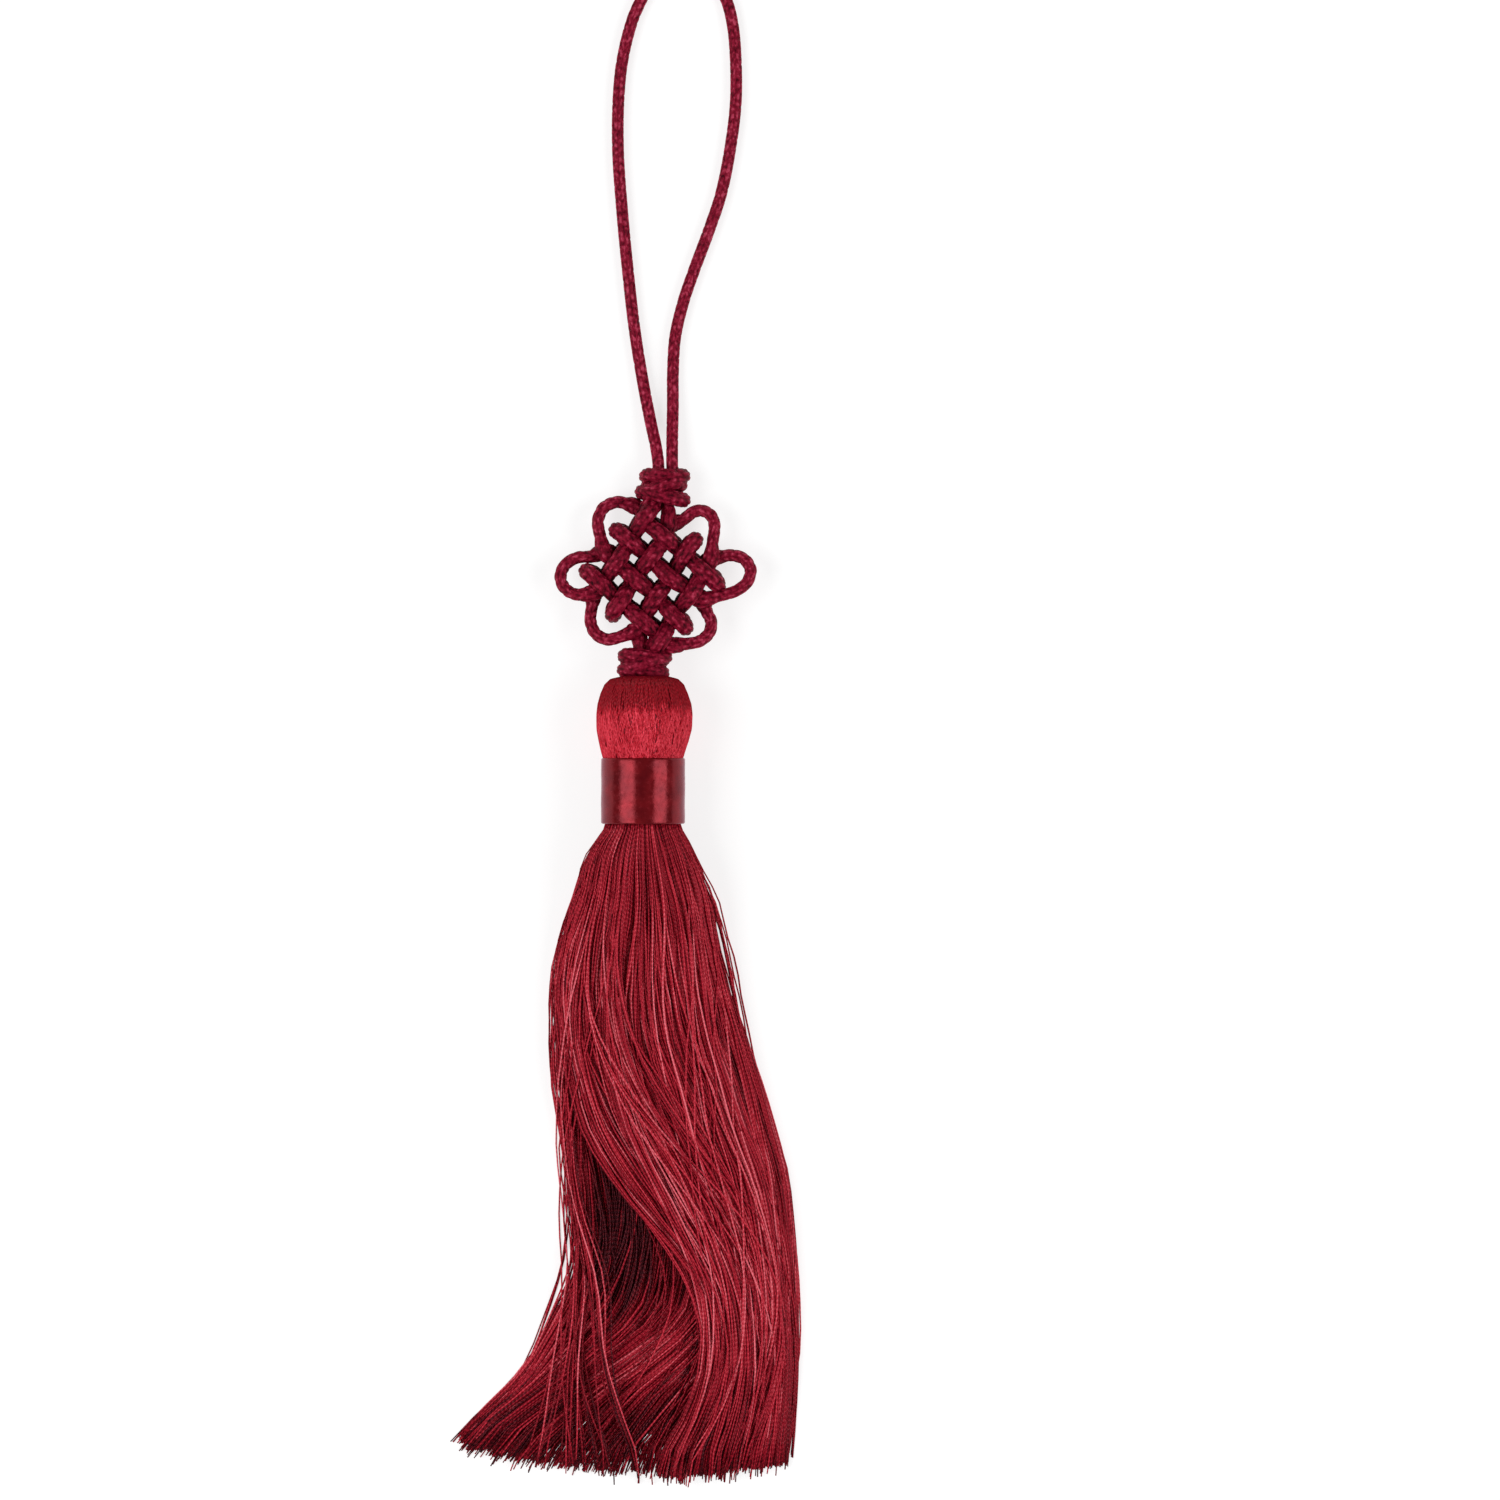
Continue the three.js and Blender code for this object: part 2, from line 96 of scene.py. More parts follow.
# Each line's closed end and how far it goes past its last crossing, in steps.
HAIRPINS = {
    "a0": ("far", 0.64), "a1": ("near", 0.54), "a2": ("far", 0.54), "a3": ("near", 0.6),
    "b0": ("near", 0.5), "b1": ("far", 0.54), "b2": ("near", 0.54), "b3": ("far", 0.42),
}

# The bows of the ears between two lines, as (x, y).
EAR_BOWS = {
    "a0-a2": [(-3.0, 36.8), (-5.0, 37.1), (-7.2, 36.0), (-8.1, 33.8), (-7.7, 31.1)],
    "a2-b0": [(-9.3, 27.6), (-11.7, 27.4), (-13.8, 26.1), (-14.6, 24.0), (-13.8, 22.0), (-11.7, 20.9)],
    "b0-b2": [(-9.1, 19.0), (-9.4, 16.6), (-8.6, 14.3), (-6.6, 13.1), (-4.4, 13.5)],
    "b1-b3": [(6.8, 34.1), (8.4, 35.3), (10.0, 35.6), (11.6, 34.7), (12.2, 32.9), (11.9, 30.3)],
    "b3-a1": [
        (13.1, 27.5), (15.4, 27.8), (17.5, 27.0), (18.5, 25.1), (17.8, 23.0), (15.8, 21.5), (12.6, 20.6),
    ],
    "a1-a3": [(10.8, 18.0), (11.6, 16.2), (11.3, 14.3), (9.6, 12.8), (7.0, 12.3)],
}

# The two cords in the order in which they run, with the leads at their ends as (x, y, lift).
CORD_RUNS = {
    "knotted_cord_left": {
        "lead_in": [(2.4, 43.2, 0), (2.3, 41, 0), (2.1, 39.5, 0), (1.7, 38.0, 0.4), (0.9, 36.6, 1.2)],
        "lines": ["a0", "a2", "b0", "b2"],
        "lead_out": [(-0.9, 14.2, -0.6), (-0.8, 12.4, 0), (-1.1, 9.0, 0), (-1.2, 5.4, 0)],
    },
    "knotted_cord_right": {
        "lead_in": [(4.9, 43.2, 0), (4.8, 41, 0), (4.4, 39, -0.3), (4.0, 36.8, -0.2), (4.2, 34.6, 0.6)],
        "lines": ["b1", "b3", "a1", "a3"],
        "lead_out": [(2.0, 12.9, -0.3), (1.5, 11.4, 0.2), (1.3, 9.0, 0), (1.2, 5.4, 0)],
    },
}

# The turns of cord round the double knots: x and y of the middle, half width and half depth of the
# cord's middle line, slope at the front and the back in degrees, and how far the front stands out.
TURNS = [
    (3.5, 41.6, 3.2, 1.95, -5, 6, 0.1),
    (3.3, 39.9, 2.9, 1.9, 22, -8, 0.5),
    (3.15, 38.15, 3.6, 1.9, -13, -9, 0.6),
    (0.1, 10.1, 3.5, 1.95, -7, 5, 0.0),
    (-0.1, 8.85, 3.0, 1.9, 20, 0, 0.5),
    (-0.2, 7.55, 3.3, 1.9, -4, -4, 0.1),
]

# The loop's route, as (x, y, z) of the cord's middle.
LOOP_ROUTE = [
    (4.8, 43.5, 3.2), (4.8, 48.1, 2.5), (4.9, 54.3, 1.5), (4.9, 59.6, 1.1), (5.3, 66.0, 1.1),
    (6.7, 72.1, 1.1), (8.6, 77.7, 1.1), (11.2, 84.7, 1.1), (13.3, 91.0, 1.1), (14.9, 98.9, 1.1),
    (15.9, 107.3, 1.1), (15.8, 116.2, 1.1), (15.3, 120.9, 1.1), (14.2, 125.1, 1.1), (11.7, 129.7, 1.1),
    (7.9, 132.4, 1.1), (4.0, 131.8, 1.1), (1.2, 128.7, 1.1), (-0.6, 125.1, 1.1), (-2.2, 121.4, 1.1),
    (-3.9, 114.6, 1.1), (-4.6, 107.8, 1.1), (-4.7, 98.9, 1.1), (-4.0, 88.4, 1.1), (-3.0, 77.9, 1.1),
    (-1.8, 67.4, 1.1), (-0.3, 58.0, 1.2), (1.1, 50.8, 2.0), (2.0, 46.6, 2.8), (2.4, 43.5, 3.2),
]

# The loop's two ends go on by this much inside the top knot.
LOOP_START_Y = 43.5
LOOP_TUCK = 1.6
TUCKED_ENDS = [(4.85, LOOP_START_Y - LOOP_TUCK, 3.3), (2.35, LOOP_START_Y - LOOP_TUCK, 3.3)]

# Braid: columns of slanted stitches round the cord, which wander in waves, each given by its pace
# along the cord and its shift from column to column
BRAID_COLUMNS = 8
STITCH_LENGTH = 1.6
STITCH_SLANT = 0.6
STITCH_WANDER = 0.16
STITCH_WAVES = [(1.31, 2), (0.47, 5)]
STITCH_POWER, STITCH_ROUNDNESS = 3, 0.6
FURROW_DEPTH, FURROW_POWER = 0.55, 2.4
BRAID_DEPTH = 0.26
BRAID_SIDES = 40
BRAID_STEP = 0.25
BRAID_END_TONE = 0.5

# Head, neck and collar
AXIS_HEIGHT = 7.6
NECK_CENTRE_X = -0.2
NECK_END = -19.3

COLLAR_RADIUS = 7.3
COLLAR_TOP = -7.5
COLLAR_END = -18.95
COLLAR_ROLL = 0.32
COLLAR_WALL = 0.75
COLLAR_SIDES = 160
COLLAR_STATIONS = 26
COLLAR_WAVE = 0.035
COLLAR_TONE = 0.5

THREAD_SIDES = 3
THREAD_RADIUS = 0.165
THREAD_UNEVEN = (0.85, 1.1)
CUT_END = 0.75
PLY_SHIFT = 0.37

# The head's threads: every second one lies deeper. Drift and waves are in radians round the head.
HEAD_THREAD_RADIUS = 0.17
HEAD_THREADS = 520
HEAD_STATIONS = 38
HEAD_STATION_POWER = 0.9
HEAD_SPACING = 0.4
HEAD_DRIFT = 0.09
HEAD_WAVE = 0.03
LONG_PACES, QUICK_PACES = (8, 20), (30, 60)
QUICK_FROM = (0.45, 0.6)
OUTER_SINK, INNER_SINK, SINK_UNEVEN = 1.0, 1.6, 0.05

# Painted light makes the head's lower part lighter, from a ragged edge on, and painted shade makes it
# darker at the collar.
HEAD_SHINE_FROM = 0.55
SHINE_EDGE, SHINE_RAGGED = 0.04, 0.025
HEAD_TONE, HEAD_SHINE, HEAD_TONE_UNEVEN = 0.37, 0.38, 0.015
UNDER_COLLAR, COLLAR_SHADE = (0.86, 1.0), 0.14
HEAD_GLINTS, GLINTS_ABOVE = 0.18, 0.1
CORE_SIDES, CORE_RINGS = 96, 40
CORE_TONE, CORE_SHINE, CORE_EDGE = 0.25, 0.3, 0.1

# The head's profile from its crown down to the neck: y, radius, middle x.
HEAD_PROFILE = np.array([
    (6.1, 0.8, 0.3), (6.5, 2.6, 0.2), (6.5, 4.4, 0.1), (6.1, 6.0, 0.0), (5.2, 6.95, 0.0),
    (3.6, 7.65, 0.0), (1.8, 8.2, 0.05), (0.0, 8.4, 0.05), (-2.4, 8.35, 0.0), (-4.6, 7.85, -0.1),
    (-6.4, 7.35, -0.2), (-7.6, 7.0, -0.2), (-8.6, 6.6, -0.2),
])

# The skirt's flow, as drawn: at each y, the x of the threads at these places across the bunch,
# for its lowest threads, which sweep out to the left, and for its top ones, which part round a hollow.
FLOW_ACROSS = np.array([-1.0, -0.88, -0.75, 0.0, 0.5, 1.0])
LOW_FLOW = np.array([
    (-19.3, -6.6, -5.4, -4.2, -0.2, 3.0, 6.2),
    (-23.0, -9.5, -7.8, -6.2, -0.4, 4.2, 8.4),
    (-31.2, -12.4, -10.2, -8.2, -0.3, 6.2, 12.5),
    (-40.0, -15.4, -12.6, -10.0, -0.2, 7.6, 15.0),
    (-49.2, -16.6, -13.8, -11.0, 0.0, 8.7, 16.9),
    (-57.0, -16.8, -13.8, -10.8, 0.4, 9.8, 18.4),
    (-64.0, -16.4, -13.4, -10.4, 1.4, 11.2, 20.2),
    (-72.0, -14.9, -12.2, -9.4, 3.0, 13.2, 22.5),
    (-80.0, -13.6, -10.8, -7.8, 5.0, 15.2, 24.7),
    (-88.4, -13.6, -10.6, -7.2, 6.0, 16.8, 25.8),
    (-96.5, -14.6, -12.0, -9.2, 5.2, 17.0, 26.6),
    (-102.0, -16.4, -14.0, -11.8, 4.2, 16.4, 26.8),
    (-106.0, -17.8, -15.8, -14.0, 1.4, 14.8, 26.9),
    (-110.0, -19.2, -18.0, -16.6, -4.0, 11.4, 26.8),
    (-114.0, -21.0, -20.2, -19.2, -9.8, 7.0, 26.4),
    (-118.0, -24.6, -23.6, -22.6, -16.2, 2.0, 25.4),
    (-123.5, -30.2, -29.4, -28.4, -24.4, -3.0, 23.2),
    (-130.0, -35.5, -34.6, -33.6, -30.0, -9.0, 20.0),
])
TOP_FLOW = np.array([
    *LOW_FLOW[:3],
    (-40.0, -15.4, -12.8, -10.4, -0.4, 7.4, 15.0),
    (-49.2, -16.6, -14.2, -11.8, -0.4, 8.6, 16.9),
    (-57.0, -16.8, -14.4, -12.0, 0.2, 10.0, 18.4),
    (-64.0, -16.4, -14.0, -11.4, 1.8, 12.2, 20.2),
    (-72.0, -14.9, -12.8, -10.2, 4.6, 14.4, 22.5),
    (-80.0, -13.6, -12.2, -6.0, 8.4, 17.4, 24.7),
    (-88.4, -13.4, -11.4, 0.4, 12.0, 19.8, 25.8),
    (-96.5, -14.0, -10.2, 6.0, 14.6, 21.4, 26.6),
    (-104.7, -16.2, -9.0, 9.0, 15.8, 22.2, 26.9),
    (-112.9, -18.4, -7.8, 9.8, 15.8, 22.0, 26.8),
    (-121.0, -21.0, -5.4, 7.4, 14.0, 20.8, 26.3),
    (-130.0, -25.0, -1.6, 2.4, 10.6, 18.8, 25.4),
])

# Lower threads than the first share of the height follow the low flow, and others the top one.
FLOW_SWITCH = (0.5, 0.53)

# Of the top threads at the left only this share runs beside the hollow, between these places across.
# The others start at the hollow's edge.
LONE_SHARE = 0.1
LONE_ACROSS = (-0.97, -0.855)
LONE_BELOW = -0.5
HOLLOW_EDGE = -0.75
PARTED_ALONG = (0.2, 0.55)

# Where most of the threads at an edge lie in from the outline, and a few loose ones keep to it.
TUCKS = [
    {"side": 1, "y": -42.0, "long": 14.0, "inward": 2.0},
    {"side": -1, "y": -98.0, "long": 9.0, "inward": 2.4},
]
TUCKED_FROM = 0.5
LOOSE_SHARE = 0.1

# At each y, the skirt's underside and its height over the middle.
SKIRT_DEPTH = np.array([
    (-19.3, 1.2, 12.8), (-22.0, 0.6, 13.4), (-26.0, 0.3, 13.4), (-31.0, 0.1, 12.8),
    (-40.0, 0.0, 11.3), (-50.0, 0.0, 10.1), (-61.0, 0.0, 9.3), (-79.0, 0.0, 8.7),
    (-98.0, 0.0, 8.0), (-115.0, 0.0, 6.4), (-131.0, 0.0, 5.0),
])

# Where the cut ends lie, by the x of the flow at TIP_LEVEL.
TIP_LEVEL = -130.0
TIP_LINE = np.array([
    (-35.5, -125.6), (-33.5, -126.8), (-30.0, -129.0), (-22.0, -130.8), (-15.6, -132.0),
    (-3.4, -133.2), (4.8, -133.2), (12.9, -132.4), (21.0, -131.6), (26.0, -130.8),
])

# The cut ends are uneven, and some threads are longer still.
RAGGED = 1.4
LONG_TIP, LONG_TIP_SHARE = 1.6, 0.06

# Stations lie closer near the root, which is tucked into the collar.
SKIRT_STATIONS = 32
STATION_POWER = 1.25
ROOT_TUCK = 0.8

# The threads are pressed finer at their roots, over this share of their stations.
FINE_ROOT, FINE_ROOT_LONG = 0.66, 0.35

# Four bunches from the underside to the top, each with the share of the height that it fills.
SKIRT_BUNCHES = [(0.0, 0.4), (0.3, 0.7), (0.6, 0.92), (0.8, 1.0)]
THREADS_IN_BUNCH = 700

# Strays cross over the others. An even bed of threads lies lowest.
STRAYS = 80
STRAY_LAYERS = (0.98, 1.08)
STRAY_REACH = 0.9
STRAY_CROSSES = (0.1, 1.0)
BED_THREADS = 200
BED_LAYERS = (0.0, 0.1)
BED_REACH = 0.96

# The close mass of inner threads: where it starts, how far it ends before the cut ends, its share
# of the skirt's width, its place in the skirt's height and its half thickness.
INNER_MASS = {"start": -30.0, "short": 5.0, "wide": 0.84, "height": 0.12, "half": 0.25}
INNER_SIDES, INNER_RINGS = 48, 36
INNER_PLIES = (2.0, 3.0)
# The inner mass's dark tone is painted shade.
INNER_SHADE_TONE = 0.1

# Locks: how much their height counts in finding the nearest, and how far their threads are drawn
# together and open again at the tips
LOCKS = 90
LOCK_BY_HEIGHT = 0.5
LOCK_GATHER = 0.45
GATHERED_ALONG = (0.12, 0.45)
OPEN_TIPS, OPEN_TIPS_ALONG = 0.6, (0.7, 1.0)

# A lock's slow and quick swings, in turns over its length, and the size of the quick ones
SLOW_SWINGS, QUICK_SWINGS, QUICK_SWING_SHARE = 0.55, 1.3, 0.5

# Sideways wander in mm: of locks, of neighbouring threads together, and of each thread in long and
# in short waves. It sets in along the threads, and the edges wander less.
LOCK_WANDER = 1.3
FIELD_WANDER = 0.9
LONG_WANDER, LONG_PACE = 0.6, 8
SHORT_WANDER, SHORT_PACE = 0.25, 21
LOOSE_ALONG = (0.0, 0.3)
EDGE_CALM = 0.8

# A thread's drift towards its tip and its waves near the root, as shares of the half width
DRIFT_ACROSS = 0.07
ROOT_WAVE, ROOT_PACES, ROOT_PHASES = 0.02, (30, 70), 6

# The threads settle on the surface, packed towards the top near the root and unevenly lifted.
SETTLED_ALONG = (0.0, 0.2)
PACKING, PACKED_LAYERS, PACKED_ALONG = 0.5, (0.4, 0.8), (0.02, 0.3)
LIFT = 0.6

# Uneven waves over the bunch: their number, and their most turns over its width, length and height
WAVE_COUNT = 9
WAVE_PACES = (5.0, 1.6, 2.5)
SHINE_PACE = 0.5

# Tones from 0 for dark to 1 for light, with painted shade on threads deep in the bunch: higher threads and
# those at the edges are lighter, and so are the low ones where they sweep out bare of others.
TONE_BASE, SHADE_BY_DEPTH, TONE_BY_SHINE = 0.18, 0.26, 0.1
HEIGHT_POWER, EDGE_POWER = 1.5, 4
BARE, BARE_BELOW = 0.8, (102.0, 112.0)
OWN_TONE = 0.13
BRIGHT_SHARE, BRIGHTER = 0.2, (0.1, 0.45)
STRAY_LIGHTER = 0.08
OPENED_ALONG, OPENED_LIGHTER, CLOSED_SHARE = (0.05, 0.3), 0.06, 0.3
# Painted shade towards the tips.
TIP_SHADE, TIP_ALONG = 0.24, (0.72, 1.0)
# Painted light on the low threads where they sweep out bare.
SWEEP_LIGHT, SWEEP_FROM, SWEEP_TO = 0.2, (99.0, 106.0), (115.0, 123.0)
# Painted light on the skirt where it bulges.
BULGE = {"y": -38.0, "long": 14.0, "lighter": 0.07}
GLINTS = 0.06
GLINT_MIDDLE, GLINT_SUM = 1.5, 2.06

# The painted shade of the hollow between the parted threads: its place, size and strength, and the layers
# in which it fades
HOLLOW = {"x": -4.6, "y": -91.0, "wide": 6.5, "long": 12.0, "darker": 0.3, "fades": (0.5, 0.85)}

# Camera, lights and floor. Lights and floor are placed in metres, and a light's size is given along
# the tassel and across it.
FRAME_WIDTH = 262.5
FRAME_CENTRE = (18.375, -6.125)
CAMERA_HEIGHT = 1.0
SENSOR = 36.0
LIGHT_TARGET = (0.0, -0.01, 0.0)
LIGHTS = {
    "left_softbox": {"place": (-0.75, -0.1, 0.8), "size": (0.9, 0.8), "power": 8.6},
    "right_softbox": {"place": (0.88, -0.1, 0.74), "size": (0.9, 0.75), "power": 7.6},
}
SKY_STRENGTH = 0.27
FLOOR_HALF_WIDTH = 3.0
FLOOR_LEVEL = -0.00002


def link(thing):
    bpy.context.scene.collection.objects.link(thing)


def make_camera():
    data = bpy.data.cameras.new("camera")
    data.sensor_width = SENSOR
    data.lens = SENSOR * CAMERA_HEIGHT / (FRAME_WIDTH * MM)
    camera = bpy.data.objects.new("camera", data)
    camera.location = (FRAME_CENTRE[0] * MM, FRAME_CENTRE[1] * MM, CAMERA_HEIGHT)
    link(camera)
    bpy.context.scene.camera = camera


# Curves and frames


def smooth_route(points, step):
    """Evenly spaced points on a centripetal Catmull-Rom curve through the given ones."""
    p = np.array(points, float)
    p = np.vstack([2 * p[0] - p[1], p, 2 * p[-1] - p[-2]])
    knots = np.concatenate([[0], np.cumsum(np.linalg.norm(np.diff(p, axis=0), axis=1) ** 0.5)])
    fine = []
    for i in range(1, len(p) - 2):
        t = np.linspace(knots[i], knots[i + 1], ROUTE_FINENESS, endpoint=False)[:, None]
        t0, t1, t2, t3 = knots[i - 1 : i + 3]
        a1 = (t1 - t) / (t1 - t0) * p[i - 1] + (t - t0) / (t1 - t0) * p[i]
        a2 = (t2 - t) / (t2 - t1) * p[i] + (t - t1) / (t2 - t1) * p[i + 1]
        a3 = (t3 - t) / (t3 - t2) * p[i + 1] + (t - t2) / (t3 - t2) * p[i + 2]
        b1 = (t2 - t) / (t2 - t0) * a1 + (t - t0) / (t2 - t0) * a2
        b2 = (t3 - t) / (t3 - t1) * a2 + (t - t1) / (t3 - t1) * a3
        fine.append((t2 - t) / (t2 - t1) * b1 + (t - t1) / (t2 - t1) * b2)
    fine = np.vstack(fine + [p[-2][None]])
    return spaced(fine, step)


def spaced(line, step):
    lengths = np.concatenate([[0], np.cumsum(np.linalg.norm(np.diff(line, axis=0), axis=1))])
    count = max(2, int(round(lengths[-1] / step)) + 1)
    places = np.linspace(0, lengths[-1], count)
    return np.stack([np.interp(places, lengths, line[:, k]) for k in range(3)], axis=1)


def unit(v):
    return v / np.maximum(np.linalg.norm(v, axis=-1, keepdims=True), 1e-12)


def turning_frames(line, closed):
    """Two directions across a line at each of its points, turned as little as possible."""
    if closed:
        tangents = unit(np.roll(line, -1, axis=0) - np.roll(line, 1, axis=0))
    else:
        tangents = unit(np.gradient(line, axis=0))
    start = UP
    if abs(tangents[0] @ start) > UPRIGHT:
        start = ASIDE
    across = unit(start - (start @ tangents[0]) * tangents[0])
    first = across
    sides = [across]
    for i in range(1, len(line)):
        across = unit(across - (across @ tangents[i]) * tangents[i])
        sides.append(across)
    sides = np.array(sides)
    if closed:
        last = unit(across - (across @ tangents[0]) * tangents[0])
        off = math.atan2(np.cross(first, last) @ tangents[0], first @ last)
        turn = -off * np.arange(len(line)) / len(line)
        ups = np.cross(tangents, sides)
        sides = sides * np.cos(turn)[:, None] + ups * np.sin(turn)[:, None]
    return sides, np.cross(tangents, sides)


# Meshes


def add_mesh(name, points, faces, corner_uv, tone, material):
    """A smooth mesh from points in millimetres and arrays of faces of one length each."""
    mesh = bpy.data.meshes.new(name)
    sizes = np.concatenate([np.full(len(f), f.shape[1]) for f in faces])
    corners = np.concatenate([f.ravel() for f in faces]).astype(np.int32)
    mesh.vertices.add(len(points))
    mesh.vertices.foreach_set("co", (np.asarray(points, float) * MM).ravel())
    mesh.loops.add(len(corners))
    mesh.loops.foreach_set("vertex_index", corners)
    mesh.polygons.add(len(sizes))
    starts = np.concatenate([[0], np.cumsum(sizes)[:-1]]).astype(np.int32)
    mesh.polygons.foreach_set("loop_start", starts)
    mesh.polygons.foreach_set("use_smooth", np.ones(len(sizes), bool))
    layer = mesh.uv_layers.new(name="along")
    layer.uv.foreach_set("vector", np.asarray(corner_uv, np.float32).ravel())
    attribute = mesh.attributes.new("tone", "FLOAT", "POINT")
    attribute.data.foreach_set("value", np.asarray(tone, np.float32))
    mesh.update(calc_edges=True)
    mesh.validate()
    piece = bpy.data.objects.new(name, mesh)
    link(piece)
    mesh.materials.append(material)
    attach(piece, "root")
    return piece


def tube_faces(rings, sides, closed=False):
    """Quads of one tube of rings, and the places of their corners along and round it."""
    here = np.arange(rings if closed else rings - 1)
    around = np.arange(sides)
    i, j = (g.ravel() for g in np.meshgrid(here, around, indexing="ij"))
    ahead, beside = (i + 1) % rings, (j + 1) % sides
    quads = np.stack([i * sides + j, i * sides + beside, ahead * sides + beside, ahead * sides + j], axis=1)
    corners = [(j, i), (j + 1, i), (j + 1, i + 1), (j, i + 1)]
    return quads, np.stack([np.stack(corner, 1) for corner in corners], axis=1)


def tube_caps(rings, sides):
    """One flat face at each end of a tube."""
    around = np.arange(sides)
    return [around[::-1][None], around[None] + (rings - 1) * sides]


def braid_relief(along, around):
    """How full the braid is at each place, from 0 in its furrows to 1 on its stitches."""
    column = around * BRAID_COLUMNS
    place = column - np.floor(column) - 0.5
    even = np.floor(column).astype(int) % 2 == 0
    direction = np.where(even, 1.0, -1.0)
    phase = along / STITCH_LENGTH + direction * STITCH_SLANT * place + np.where(even, 0.0, 0.5)
    waves_along = (np.sin(pace * along + shift * column) for pace, shift in STITCH_WAVES)
    phase = phase + STITCH_WANDER * sum(waves_along)
    end = 2 * (phase - np.floor(phase)) - 1
    stitch = (1 - np.abs(end) ** STITCH_POWER) ** STITCH_ROUNDNESS
    return stitch * (1 - FURROW_DEPTH * np.abs(2 * place) ** FURROW_POWER)


def braided_cord(name, route, material, closed=False, size=BRAID_RADIUS, flat=0.0, weave_shade=0.0):
    """A round braid along a route of evenly spaced points, with its stitches in the mesh."""
    rings, sides = len(route), BRAID_SIDES
    across, up = turning_frames(route, closed)
    around = np.arange(sides) / sides
    along = np.arange(rings) * np.linalg.norm(route[1] - route[0])
    if closed:
        whole = rings * np.linalg.norm(route[1] - route[0])
        along = along * (round(whole / STITCH_LENGTH) * STITCH_LENGTH / whole)
    full = braid_relief(along[:, None], around[None, :])
    radius = np.asarray(size).reshape(-1, 1) - BRAID_DEPTH * (1 - full)
    angle = math.tau * around
    ring = np.cos(angle)[None, :, None] * across[:, None] + np.sin(angle)[None, :, None] * up[:, None]
    wider = 1 + np.asarray(flat).reshape(-1, 1) * (1 - ring[:, :, 2] ** 2)
    points = (route[:, None] + (radius * wider)[:, :, None] * ring).reshape(-1, 3)
    points[:, 2] = np.maximum(points[:, 2], 0)
    quads, places = tube_faces(rings, sides, closed)
    uv = np.stack([places[..., 0] / sides, places[..., 1] * (along[1] - along[0])], axis=-1).reshape(-1, 2)
    # The tone follows the braid's relief, which puts painted shade in the furrows, less the painted shade
    # of the weave.
    tone = (full - np.asarray(weave_shade).reshape(-1, 1)).ravel()
    faces = [quads]
    if not closed:
        # Flat fans close the two ends.
        middle = len(points)
        points = np.vstack([points, route[0], route[-1]])
        tone = np.concatenate([tone, [BRAID_END_TONE, BRAID_END_TONE]])
        j = np.arange(sides)
        k = (j + 1) % sides
        last = (rings - 1) * sides
        front = np.stack([np.full(sides, middle), k, j], axis=1)
        back = np.stack([np.full(sides, middle + 1), last + j, last + k], axis=1)
        faces += [front, back]
        uv = np.vstack([uv, np.zeros((6 * sides, 2))])
    return add_mesh(name, points, faces, uv, tone, material)


def threads_mesh(name, paths, radius, tones, material, root=1.0):
    """One mesh of many threads, along paths of shape (threads, stations, 3), finer towards the root."""
    count, stations, _ = paths.shape
    sides = THREAD_SIDES
    tangents = unit(np.gradient(paths, axis=1))
    across = np.cross(tangents, UP)
    weak = np.linalg.norm(across, axis=2, keepdims=True) < TOO_SHORT
    across = unit(np.where(weak, ASIDE, across))
    over = np.cross(across, tangents)
    angle = math.tau * (np.arange(sides) + 0.25) / sides
    size = np.asarray(radius).reshape(-1, 1, 1, 1)
    taper = root + (1 - root) * smooth_step(0.0, FINE_ROOT_LONG, np.linspace(0, 1, stations))
    taper[-1] = CUT_END
    ring = np.cos(angle)[:, None] * across[:, :, None] + np.sin(angle)[:, None] * over[:, :, None]
    points = paths[:, :, None] + ring * size * taper[None, :, None, None]
    quads, places = tube_faces(stations, sides)
    offsets = (np.arange(count) * stations * sides)[:, None, None]
    faces = (quads[None] + offsets).reshape(-1, 4)
    steps = np.linalg.norm(np.diff(paths, axis=1), axis=2)
    lengths = np.concatenate([np.zeros((count, 1)), np.cumsum(steps, axis=1)], axis=1)
    shift = (np.arange(count) * PLY_SHIFT % 1.0)[:, None, None]
    v = lengths[:, places[..., 1]] + shift
    u = np.broadcast_to(places[..., 0] / sides, v.shape)
    front, back = ((cap[None] + offsets).reshape(-1, sides) for cap in tube_caps(stations, sides))
    uv = np.vstack([np.stack([u, v], axis=-1).reshape(-1, 2), np.zeros((2 * count * sides, 2))])
    tone = np.repeat(tones.ravel(), sides)
    return add_mesh(name, points.reshape(-1, 3), [faces, front, back], uv, tone, material)


# Materials


